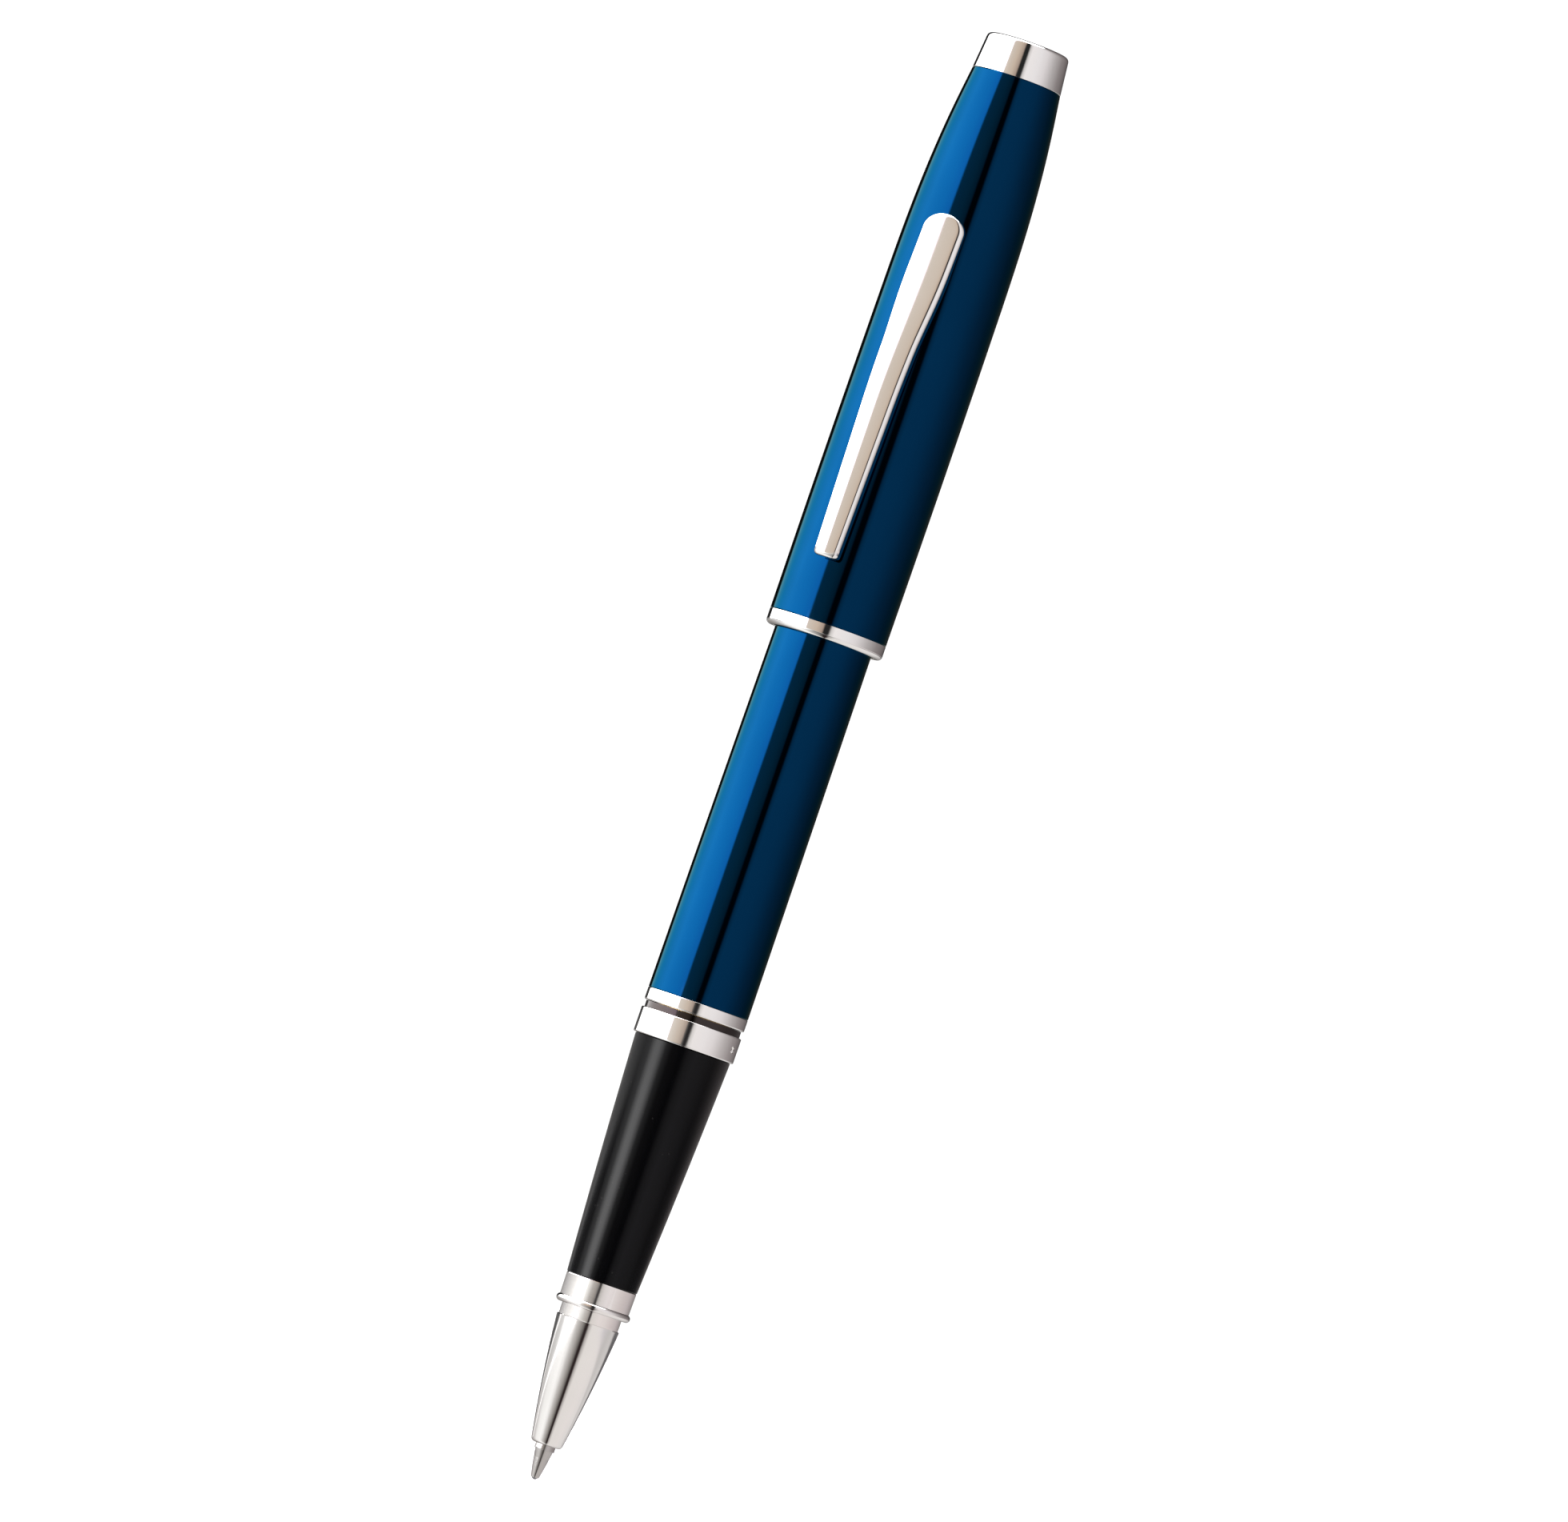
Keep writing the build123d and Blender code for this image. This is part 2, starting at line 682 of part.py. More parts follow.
with BuildPart() as cap_clutch:
    clutch_outline = tube_section(liner_radius, clutch_bore, band_spigot_high, clutch_high)
    revolve(clutch_outline, axis=Axis.Z)
    with BuildSketch(Plane.XY.offset(band_spigot_high)):
        with PolarLocations(liner_radius, CLUTCH_SLITS):
            Rectangle(liner_radius, CLUTCH_SLIT_WIDTH)
    extrude(amount=CLUTCH_SLIT_LENGTH, mode=Mode.SUBTRACT)

with BuildPart() as cap_liner:
    revolve(tube_section(liner_radius, cap_mouth, clutch_high, carrier_low), axis=Axis.Z)

shoulder_bore_low = carrier_high
seal_tube_bore = cap_side_radius(seal_high) - CAP_SHOULDER_WALL
seal_radius = seal_tube_bore - FIXED_GAP
top_bore_low = cap_tube_high - TOP_BORE_LENGTH

with BuildPart() as cap_tube:
    with BuildSketch(Plane.XZ):
        with BuildLine():
            Polyline(
                (cap_bore, band_high),
                (cap_radius - SEAM, band_high),
                (cap_radius, band_high + SEAM),
            )
            Spline(*cap_side_points(0))
            Polyline(
                (cap_top_radius, cap_tube_high - SEAM),
                (cap_top_radius - SEAM, cap_tube_high),
                (cap_top_bore, cap_tube_high),
                (cap_top_bore, top_bore_low),
                (seal_tube_bore, seal_high),
                (seal_tube_bore, shoulder_bore_low),
                (cap_bore, shoulder_bore_low),
                (cap_bore, band_high),
            )
        make_face()
    revolve(axis=Axis.Z)
    with Locations((0, -cap_radius, tang_high + SLOT_GAP)):
        Box(
            TANG_WIDTH + 2 * SLOT_GAP,
            2 * (CAP_WALL + TANG_REACH),
            TANG_HEIGHT + 2 * SLOT_GAP,
            align=(Align.CENTER, Align.CENTER, Align.MAX),
            mode=Mode.SUBTRACT,
        )

with BuildPart() as clip_carrier:
    revolve(tube_section(liner_radius, carrier_bore, carrier_low, carrier_high), axis=Axis.Z)
    with Locations((0, -liner_radius, tang_high + SLOT_GAP)):
        Box(
            TANG_WIDTH + 2 * SLOT_GAP,
            2 * (TANG_REACH + SLOT_GAP),
            TANG_HEIGHT + 2 * SLOT_GAP,
            align=(Align.CENTER, Align.CENTER, Align.MAX),
            mode=Mode.SUBTRACT,
        )

with BuildPart() as tip_seal_cup:
    seal_outline = half_section(
        [
            (seal_cup_bore, seal_low),
            (seal_radius, seal_low),
            (seal_radius, seal_high),
            (0, seal_high),
            (0, seal_high - SEAL_CUP_FLOOR),
            (seal_cup_bore, seal_high - SEAL_CUP_FLOOR),
        ]
    )
    revolve(seal_outline, axis=Axis.Z)

bush_high = cap_tube_high
bush_low = bush_high - BUSH_LENGTH
bush_radius = cap_top_bore - FIXED_GAP
nut_top = bush_low
nut_bottom = nut_top - NUT_LENGTH
stem_bore = STEM_RADIUS + FIXED_GAP

with BuildPart() as cap_top_bush:
    revolve(tube_section(bush_radius, stem_bore, bush_low, bush_high), axis=Axis.Z)

with BuildPart() as finial_nut:
    with BuildSketch(Plane.XY.offset(nut_bottom)):
        RegularPolygon(NUT_FLATS / 2, 6, major_radius=False)
        Circle(stem_bore, mode=Mode.SUBTRACT)
    extrude(amount=NUT_LENGTH)

with BuildPart() as cap_finial:
    finial_edge = cap_top_radius - FINIAL_TAPER
    with BuildSketch(Plane.XZ):
        with BuildLine():
            Polyline(
                (0, nut_bottom),
                (STEM_RADIUS, nut_bottom),
                (STEM_RADIUS, cap_tube_high),
                (cap_top_radius - SEAM, cap_tube_high),
                (cap_top_radius, cap_tube_high + SEAM),
                (finial_edge, finial_high - FINIAL_ROUND),
            )
            RadiusArc(
                (finial_edge, finial_high - FINIAL_ROUND),
                (finial_edge - FINIAL_ROUND, finial_high),
                -FINIAL_ROUND,
            )
            Polyline((finial_edge - FINIAL_ROUND, finial_high), (0, finial_high), (0, nut_bottom))
        make_face()
    revolve(axis=Axis.Z)

# ---------------------------------------------------------------------------
# Clip: a crowned bar that rises out of the cap, cut to its outline seen from the
# front, with rounded edges, a tang through the cap's slot and a pad at its free end
# ---------------------------------------------------------------------------
clip_front = cap_radius + CLIP_STAND_OFF


def ease(share, start, end):
    """Smooth step from 0 at start to 1 at end."""
    t = min(max((share - start) / (end - start), 0), 1)
    return t * t * (3 - 2 * t)


def clip_slice(share):
    """Crowned cross-section of the clip's blank, at a share of its length from the free end."""
    front = clip_front - CLIP_HEAD_DROP * ease(share, CLIP_DROP_START, CLIP_DROP_END)
    half = CLIP_HEAD_WIDTH / 2 + CLIP_DEPTH
    crown = CLIP_CROWN * (2 * half / CLIP_HEAD_WIDTH) ** 2
    with BuildSketch(Plane.XY.offset(clip_low + share * clip_length)) as section:
        with BuildLine():
            Polyline(
                (half, crown - front),
                (half, CLIP_DEPTH - front),
                (-half, CLIP_DEPTH - front),
                (-half, crown - front),
            )
            ThreePointArc((-half, crown - front), (0, -front), (half, crown - front))
        make_face()
    return section.sketch


def clip_half_width(share):
    """Half of the clip's width at a share of its length from the free end."""
    taper = CLIP_EVEN_TAPER * share
    swell = taper + (1 - taper) * ease(share, CLIP_SWELL_START, CLIP_SWELL_END)
    return (CLIP_TAIL_WIDTH + (CLIP_HEAD_WIDTH - CLIP_TAIL_WIDTH) * swell) / 2


with BuildPart() as clip:
    loft([clip_slice(step / CLIP_STEPS) for step in range(CLIP_STEPS + 1)])
    side_low = CLIP_CORNER / clip_length
    side_high = 1 - CLIP_HEAD_ROUND / clip_length
    side_shares = [
        side_low + (side_high - side_low) * step / CLIP_STEPS for step in range(CLIP_STEPS + 1)
    ]
    side_points = [
        (clip_half_width(share), clip_low + share * clip_length) for share in side_shares
    ]
    tail_half, tail_height = side_points[0]
    head_half, head_height = side_points[-1]
    with BuildSketch(Plane.XZ):
        with BuildLine():
            Spline(*side_points)
            EllipticalCenterArc(
                (0, head_height), head_half, CLIP_HEAD_ROUND, start_angle=0, arc_size=90
            )
            RadiusArc((tail_half, tail_height), (tail_half - CLIP_CORNER, clip_low), CLIP_CORNER)
            Line((tail_half - CLIP_CORNER, clip_low), (0, clip_low))
            Line((0, clip_low), (0, clip_high))
        make_face()
        mirror(about=Plane.YZ)
    extrude(amount=2 * clip_front, mode=Mode.INTERSECT)
    fillet(clip.faces().sort_by(Axis.Y)[0].edges(), CLIP_EDGE_ROUND)
    with BuildSketch(Plane.XZ):
        with BuildLine():
            clear_side = Spline(*cap_side_points(CLIP_GAP))
            Polyline(
                clear_side @ 1,
                (0, (clear_side @ 1).Y),
                (0, (clear_side @ 0).Y),
                clear_side @ 0,
            )
        make_face()
    revolve(axis=Axis.Z, mode=Mode.SUBTRACT)
    with Locations((0, -(cap_radius + CLIP_GAP + TANG_ROOT), tang_high)):
        Box(
            TANG_WIDTH,
            TANG_ROOT + CLIP_GAP + CAP_WALL + TANG_REACH,
            TANG_HEIGHT,
            align=(Align.CENTER, Align.MIN, Align.MAX),
        )
    with Locations((0, -(cap_radius + PAD_GAP + PAD_RADIUS), clip_low + PAD_ABOVE_END)):
        Sphere(PAD_RADIUS)

pieces = {
    "nose_cone": nose_cone,
    "front_trim": front_trim,
    "grip_sleeve": grip_sleeve,
    "section_core": section_core,
    "section_ring": section_ring,
    "groove_collar": groove_collar,
    "tip_ball": tip_ball,
    "tip_socket": tip_socket,
    "refill_neck": refill_neck,
    "refill_tube": refill_tube,
    "ink_reservoir": ink_reservoir,
    "feed_rod": feed_rod,
    "refill_end_plug": refill_end_plug,
    "refill_spring": refill_spring,
    "spring_cup": spring_cup,
    "barrel_ring": barrel_ring,
    "barrel_thread_insert": barrel_thread_insert,
    "barrel_tube": barrel_tube,
    "barrel_end_plug": barrel_end_plug,
    "cap_band": cap_band,
    "cap_clutch": cap_clutch,
    "cap_liner": cap_liner,
    "cap_tube": cap_tube,
    "clip_carrier": clip_carrier,
    "tip_seal_cup": tip_seal_cup,
    "cap_top_bush": cap_top_bush,
    "finial_nut": finial_nut,
    "cap_finial": cap_finial,
    "clip": clip,
}
for name, piece in pieces.items():
    piece.part.label = name
    export_step(piece.part, f"parts/{name}.step")

print(f"pen length {finial_high:.2f}, largest radius {cap_radius + CAP_SWELL:.2f}")
print(f"unscrewing lifts the barrel {UNSCREWED_TURNS * PITCH:.2f}, {PITCH / (2 * pi):.6f} per radian")
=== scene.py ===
"""Looks of a capped rollerball pen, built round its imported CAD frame.

Everything is in metres, in the frame of the CAD part: the writing tip is at the origin, +Z runs
up the pen's axis to the finial, and the clip is on the -Y side.  Sizes inside the classes are in
millimetres, as a maker would give them, and heights come from the frame.
"""

import json
import logging
import math
from collections.abc import Callable
from dataclasses import dataclass
from enum import Enum

import bpy
import numpy as np
from mathutils import Matrix, Vector

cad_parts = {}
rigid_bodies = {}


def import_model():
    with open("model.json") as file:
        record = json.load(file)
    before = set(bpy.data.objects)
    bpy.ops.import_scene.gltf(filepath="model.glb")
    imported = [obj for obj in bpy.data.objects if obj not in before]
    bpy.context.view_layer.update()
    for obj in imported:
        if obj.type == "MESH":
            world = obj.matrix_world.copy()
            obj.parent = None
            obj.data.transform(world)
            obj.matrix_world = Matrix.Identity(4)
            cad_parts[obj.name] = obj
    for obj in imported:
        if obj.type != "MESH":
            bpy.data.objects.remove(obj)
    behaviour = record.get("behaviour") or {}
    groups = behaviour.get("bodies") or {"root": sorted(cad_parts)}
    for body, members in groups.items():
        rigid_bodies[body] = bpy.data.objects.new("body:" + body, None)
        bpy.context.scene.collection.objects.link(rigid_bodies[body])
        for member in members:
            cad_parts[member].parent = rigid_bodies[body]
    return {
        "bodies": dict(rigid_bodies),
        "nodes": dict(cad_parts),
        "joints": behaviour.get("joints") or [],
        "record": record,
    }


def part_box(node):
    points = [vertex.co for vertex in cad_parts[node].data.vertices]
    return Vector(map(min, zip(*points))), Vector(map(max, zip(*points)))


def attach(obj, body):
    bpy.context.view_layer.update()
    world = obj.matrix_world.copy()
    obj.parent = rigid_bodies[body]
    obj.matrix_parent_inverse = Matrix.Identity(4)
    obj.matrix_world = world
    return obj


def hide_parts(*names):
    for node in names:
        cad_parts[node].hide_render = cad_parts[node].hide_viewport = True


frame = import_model()

log = logging.getLogger("pen")

Colour = tuple[float, float, float]
Point = tuple[float, float]

MM = 0.001
VIEW_AZIMUTH = 19.5  # degrees round the pen from -Y, where the camera stands
FACETS = 144  # round a turned piece


# --------------------------------------------------------------------------------------
# Shader helpers
# --------------------------------------------------------------------------------------
class NodeTree:
    """A thin wrapper that adds and joins shader nodes."""

    def __init__(self, tree: bpy.types.NodeTree) -> None:
        """Wrap a node tree."""
        self.tree = tree

    def add(self, kind: str, **settings: object) -> bpy.types.Node:
        """Add a node and set its properties.

        Args:
            kind: the node's bl_idname.
            settings: properties to set on the node.

        Returns:
            The new node.
        """
        node = self.tree.nodes.new(kind)
        for name, value in settings.items():
            setattr(node, name, value)
        return node

    def join(self, source: bpy.types.NodeSocket, target: bpy.types.NodeSocket) -> None:
        """Link an output socket to an input socket."""
        self.tree.links.new(source, target)

    def feed(self, term: object, target: bpy.types.NodeSocket) -> None:
        """Link a socket to an input, or set the input to a plain value."""
        if isinstance(term, bpy.types.NodeSocket):
            self.join(term, target)
        else:
            target.default_value = term

    def math(self, operation: str, *terms: object) -> bpy.types.NodeSocket:
        """Add a Math node.

        Args:
            operation: the Math node's operation.
            terms: sockets or numbers, in the order of its inputs.

        Returns:
            The node's output socket.
        """
        node = self.add("ShaderNodeMath", operation=operation)
        for socket, term in zip(node.inputs, terms):
            self.feed(term, socket)
        return node.outputs[0]

    def noise(self, vector: bpy.types.NodeSocket, scale: object, detail: float) -> bpy.types.NodeSocket:
        """Add a Noise Texture.

        Args:
            vector: where it is read.
            scale: a socket or a number.
            detail: octaves of detail.

        Returns:
            The noise's value, 0 to 1.
        """
        node = self.add("ShaderNodeTexNoise")
        node.inputs["Detail"].default_value = detail
        self.join(vector, node.inputs["Vector"])
        self.feed(scale, node.inputs["Scale"])
        return node.outputs["Fac"]

    def stretched(
        self, scale: Colour = (1.0, 1.0, 1.0), turn: Colour = (0.0, 0.0, 0.0)
    ) -> bpy.types.NodeSocket:
        """Object coordinates, scaled and turned.

        Args:
            scale: factor along each axis.
            turn: rotation about each axis, in radians.

        Returns:
            The mapped vector.
        """
        place = self.add("ShaderNodeTexCoord")
        mapping = self.add("ShaderNodeMapping")
        mapping.inputs["Scale"].default_value = scale
        mapping.inputs["Rotation"].default_value = turn
        self.join(place.outputs["Object"], mapping.inputs["Vector"])
        return mapping.outputs["Vector"]

    def ramp(
        self, factor: bpy.types.NodeSocket, stops: list[tuple[float, Colour]]
    ) -> bpy.types.NodeSocket:
        """Add a colour ramp.

        Args:
            factor: the socket that drives the ramp.
            stops: positions and linear colours.

        Returns:
            The ramp's colour socket.
        """
        node = self.add("ShaderNodeValToRGB")
        elements = node.color_ramp.elements
        while len(elements) < len(stops):
            elements.new(1.0)
        for element, (position, colour) in zip(elements, stops):
            element.position = position
            element.color = (*colour, 1.0)
        self.join(factor, node.inputs["Fac"])
        return node.outputs["Color"]

    def blend(self, share: object, first: object, second: object) -> bpy.types.NodeSocket:
        """Mix two colours.

        Args:
            share: socket or number, 0 for the first and 1 for the second.
            first: a colour socket or a linear colour.
            second: a colour socket or a linear colour.

        Returns:
            The mixed colour.
        """
        node = self.add("ShaderNodeMix", data_type="RGBA")
        for name, term in (("Factor", share), ("A", first), ("B", second)):
            socket = next(s for s in node.inputs if s.name == name and s.enabled)
            self.feed((*term, 1.0) if isinstance(term, tuple) else term, socket)
        return next(s for s in node.outputs if s.enabled)


class Effects:
    """Shader groups that more than one finish uses, each built once."""

    HAIRLINES = (0.70, 0.73)  # noise above which a hairline shows, along and across a piece
    HAIRLINE_SHARE = 0.5  # a hairline's roughness, as a share of the marks' amount
    BROAD_SCALE = 210.0  # of the slow change in a moulded surface's roughness
    EDGE_JITTER = 0.04  # how far noise shifts the limit of the wear
    SPECK_SIZE = 0.14  # of a dust speck, as a share of the specks' spacing
    PATCH_SCALE = 330.0  # of the patches where dust settles
    PATCH_LIMIT = 0.58  # noise above which dust settles

    def __init__(self) -> None:
        """Build the groups."""
        self.polish = self._polish()
        self.turned = self._turned()
        self.grain = self._grain()
        self.wear = self._wear()
        self.dust = self._dust()

    @staticmethod
    def _group(
        name: str, inputs: dict[str, float], outputs: tuple[str, ...]
    ) -> tuple[bpy.types.ShaderNodeTree, NodeTree, bpy.types.Node, bpy.types.Node]:
        """Make an empty group with named number sockets.

        Args:
            name: the group's name.
            inputs: its inputs and their default values.
            outputs: its outputs.

        Returns:
            The group, its wrapper, its input node and its output node.
        """
        group = bpy.data.node_groups.new(name, "ShaderNodeTree")
        for label, default in inputs.items():
            socket = group.interface.new_socket(
                name=label, in_out="INPUT", socket_type="NodeSocketFloat"
            )
            socket.default_value = default
        for label in outputs:
            group.interface.new_socket(name=label, in_out="OUTPUT", socket_type="NodeSocketFloat")
        tree = NodeTree(group)
        return group, tree, tree.add("NodeGroupInput"), tree.add("NodeGroupOutput")

    def _polish(self) -> bpy.types.ShaderNodeTree:
        """Cloudy handling marks and fine hairlines, as left by polishing and use."""
        group, tree, start, end = self._group(
            "PolishMarks",
            {"Base": 0.04, "Amount": 0.05, "Cloud Scale": 160.0, "Hairline Scale": 2600.0},
            ("Roughness", "Height"),
        )
        cloud = tree.noise(tree.stretched((1.0, 1.0, 0.5)), start.outputs["Cloud Scale"], 4.0)
        along = tree.noise(
            tree.stretched((1.0, 1.0, 0.03), (0.12, 0.08, 0.0)), start.outputs["Hairline Scale"], 2.0
        )
        across = tree.noise(
            tree.stretched((0.06, 0.06, 1.0), (0.5, 0.3, 0.2)), start.outputs["Hairline Scale"], 2.0
        )
        lines = tree.math(
            "ADD",
            tree.math("GREATER_THAN", along, self.HAIRLINES[0]),
            tree.math("GREATER_THAN", across, self.HAIRLINES[1]),
        )
        hazy = tree.math("MULTIPLY", cloud, start.outputs["Amount"])
        depth = tree.math("MULTIPLY", start.outputs["Amount"], self.HAIRLINE_SHARE)
        lined = tree.math("MULTIPLY", lines, depth)
        rough = tree.math("ADD", start.outputs["Base"], tree.math("ADD", hazy, lined))
        tree.join(rough, end.inputs["Roughness"])
        tree.join(cloud, end.inputs["Height"])
        return group

    def _turned(self) -> bpy.types.ShaderNodeTree:
        """Fine rings round the axis, as left by a lathe tool and a satin wheel."""
        group, tree, start, end = self._group(
            "TurnedRings",
            {"Base": 0.2, "Amount": 0.1, "Ring Scale": 9000.0},
            ("Roughness", "Height"),
        )
        rings = tree.noise(tree.stretched((0.02, 0.02, 1.0)), start.outputs["Ring Scale"], 3.0)
        rough = tree.math("MULTIPLY_ADD", rings, start.outputs["Amount"], start.outputs["Base"])
        tree.join(rough, end.inputs["Roughness"])
        tree.join(rings, end.inputs["Height"])
        return group

    def _grain(self) -> bpy.types.ShaderNodeTree:
        """Even pebble of a moulded or sprayed surface."""
        group, tree, start, end = self._group(
            "MouldGrain",
            {"Base": 0.3, "Amount": 0.1, "Grain Scale": 5000.0},
            ("Roughness", "Height"),
        )
        fine = tree.noise(tree.stretched(), start.outputs["Grain Scale"], 2.0)
        broad = tree.noise(tree.stretched((1.0, 1.0, 0.4)), self.BROAD_SCALE, 4.0)
        rough = tree.math("MULTIPLY_ADD", broad, start.outputs["Amount"], start.outputs["Base"])
        tree.join(rough, end.inputs["Roughness"])
        tree.join(fine, end.inputs["Height"])
        return group

    def _wear(self) -> bpy.types.ShaderNodeTree:
        """Mask of the sharp outer edges, broken up by noise, where a finish rubs thin."""
        group, tree, start, end = self._group(
            "EdgeWear",
            {"Threshold": 0.56, "Softness": 0.06, "Noise Scale": 900.0},
            ("Mask",),
        )
        shape = tree.add("ShaderNodeNewGeometry")
        noise = tree.noise(tree.stretched(), start.outputs["Noise Scale"], 3.0)
        jitter = tree.math("MULTIPLY_ADD", noise, 2 * self.EDGE_JITTER, -self.EDGE_JITTER)
        edge = tree.math("ADD", shape.outputs["Pointiness"], jitter)
        over = tree.math("SUBTRACT", edge, start.outputs["Threshold"])
        mask = tree.add("ShaderNodeClamp")
        tree.join(tree.math("DIVIDE", over, start.outputs["Softness"]), mask.inputs["Value"])
        tree.join(mask.outputs["Result"], end.inputs["Mask"])
        return group

    def _dust(self) -> bpy.types.ShaderNodeTree:
        """Mask of sparse specks."""
        group, tree, start, end = self._group(
            "DustSpecks", {"Speck Scale": 1500.0, "Amount": 0.1}, ("Mask",)
        )
        specks = tree.add("ShaderNodeTexVoronoi", feature="F1")
        tree.join(tree.stretched(), specks.inputs["Vector"])
        tree.join(start.outputs["Speck Scale"], specks.inputs["Scale"])
        near = tree.math("LESS_THAN", specks.outputs["Distance"], self.SPECK_SIZE)
        patch = tree.noise(tree.stretched(), self.PATCH_SCALE, 2.0)
        some = tree.math("GREATER_THAN", patch, self.PATCH_LIMIT)
        mask = tree.math("MULTIPLY", tree.math("MULTIPLY", near, some), start.outputs["Amount"])
        tree.join(mask, end.inputs["Mask"])
        return group


# --------------------------------------------------------------------------------------
# Finishes
# --------------------------------------------------------------------------------------
class Surface(Enum):
    """Which shared effect shapes a finish's roughness and relief."""

    POLISHED = "polish"
    TURNED = "turned"
    MOULDED = "grain"


@dataclass(frozen=True)
class Finish:
    """A procedural material.

    Attributes:
        name: the material's name, which is also its slot in the record.
        colour: linear base colour.
        worn: linear colour where sharp edges are rubbed.
        metallic: 1 for a metal.
        roughness: lowest roughness.
        marks: how much the roughness varies.
        surface: the effect that varies it.
        relief: depth of the fine relief, in millimetres.
        specular: specular level of a finish that isn't a metal.
        rim: linear tint of a metal's reflection at a grazing angle.
        mottle: share by which the colour varies from place to place.
        dust: how strongly specks lighten it.
    """

    name: str
    colour: Colour
    worn: Colour
    metallic: float
    roughness: float
    marks: float
    surface: Surface
    relief: float = 0.0005
    specular: float = 0.5
    rim: Colour = (1.0, 1.0, 1.0)
    mottle: float = 0.06
    dust: float = 0.0

    DUST_COLOUR = (0.30, 0.29, 0.27)
    MOTTLE_SCALE = 260.0
    MOTTLE_DETAIL = 5.0

    def make(self, effects: Effects) -> bpy.types.Material:
        """Build the material.

        Args:
            effects: the shared shader groups.

        Returns:
            The new material.
        """
        material = bpy.data.materials.new(self.name)
        material.use_nodes = True
        tree = NodeTree(material.node_tree)
        shader = material.node_tree.nodes["Principled BSDF"]
        shader.inputs["Metallic"].default_value = self.metallic
        shader.inputs["Specular IOR Level"].default_value = self.specular
        shader.inputs["Specular Tint"].default_value = (*self.rim, 1.0)
        effect = tree.add("ShaderNodeGroup", node_tree=getattr(effects, self.surface.value))
        effect.inputs["Base"].default_value = self.roughness
        effect.inputs["Amount"].default_value = self.marks
        bump = tree.add("ShaderNodeBump")
        bump.inputs["Distance"].default_value = self.relief * MM
        tree.join(self._colour(tree, effects), shader.inputs["Base Color"])
        tree.join(effect.outputs["Roughness"], shader.inputs["Roughness"])
        tree.join(effect.outputs["Height"], bump.inputs["Height"])
        tree.join(bump.outputs["Normal"], shader.inputs["Normal"])
        return material

    def _colour(self, tree: NodeTree, effects: Effects) -> bpy.types.NodeSocket:
        """Base colour: mottled, rubbed at the edges and specked with dust."""
        cloud = tree.noise(tree.stretched((1.0, 1.0, 0.6)), self.MOTTLE_SCALE, self.MOTTLE_DETAIL)
        low = tuple(part * (1 - self.mottle) for part in self.colour)
        high = tuple(min(part * (1 + self.mottle), 1.0) for part in self.colour)
        ground = tree.ramp(cloud, [(0.3, low), (0.7, high)])
        wear = tree.add("ShaderNodeGroup", node_tree=effects.wear)
        rubbed = tree.blend(wear.outputs["Mask"], ground, self.worn)
        dust = tree.add("ShaderNodeGroup", node_tree=effects.dust)
        dust.inputs["Amount"].default_value = self.dust
        return tree.blend(dust.outputs["Mask"], rubbed, self.DUST_COLOUR)


FINISHES = (
    Finish("blue_lacquer", (0.0008, 0.027, 0.079), (0.002, 0.032, 0.088), 1.0, 0.05, 0.03,
           Surface.POLISHED, relief=0.00002, rim=(0.52, 0.62, 0.55), mottle=0.03),
    Finish("polished_chrome", (0.87, 0.86, 0.85), (0.90, 0.89, 0.88), 1.0, 0.02, 0.05,
           Surface.POLISHED, relief=0.00002, mottle=0.015),
    Finish("satin_steel", (0.84, 0.82, 0.81), (0.90, 0.89, 0.88), 1.0, 0.04, 0.05,
           Surface.TURNED, relief=0.0001, mottle=0.03),
    Finish("black_grip", (0.0004, 0.0004, 0.0007), (0.0015, 0.0015, 0.0018), 0.0, 0.08, 0.06,
           Surface.MOULDED, relief=0.0001, specular=0.16, mottle=0.15, dust=0.02),
    Finish("dark_metal", (0.050, 0.042, 0.041), (0.075, 0.066, 0.062), 1.0, 0.08, 0.08,
           Surface.TURNED, relief=0.0002),
    Finish("brass_core", (0.70, 0.50, 0.22), (0.85, 0.68, 0.38), 1.0, 0.16, 0.16,
           Surface.TURNED, mottle=0.08),
    Finish("tip_steel", (0.50, 0.48, 0.47), (0.62, 0.61, 0.60), 1.0, 0.13, 0.10,
           Surface.TURNED, relief=0.0004),
    Finish("tip_carbide", (0.30, 0.30, 0.31), (0.40, 0.40, 0.41), 1.0, 0.10, 0.05,
           Surface.POLISHED, relief=0.0001),
    Finish("white_plastic", (0.72, 0.72, 0.69), (0.80, 0.80, 0.78), 0.0, 0.35, 0.12,
           Surface.MOULDED, dust=0.05),
    Finish("refill_metal", (0.62, 0.62, 0.64), (0.72, 0.72, 0.73), 1.0, 0.18, 0.12,
           Surface.TURNED),
    Finish("ink_fibre", (0.02, 0.025, 0.12), (0.05, 0.06, 0.20), 0.0, 0.70, 0.20,
           Surface.MOULDED, relief=0.02, mottle=0.4),
    Finish("spring_steel", (0.50, 0.50, 0.50), (0.60, 0.60, 0.60), 1.0, 0.20, 0.10,
           Surface.POLISHED),
    Finish("black_plastic", (0.018, 0.018, 0.019), (0.03, 0.03, 0.03), 0.0, 0.38, 0.15,
           Surface.MOULDED, relief=0.001, mottle=0.2, dust=0.05),
)


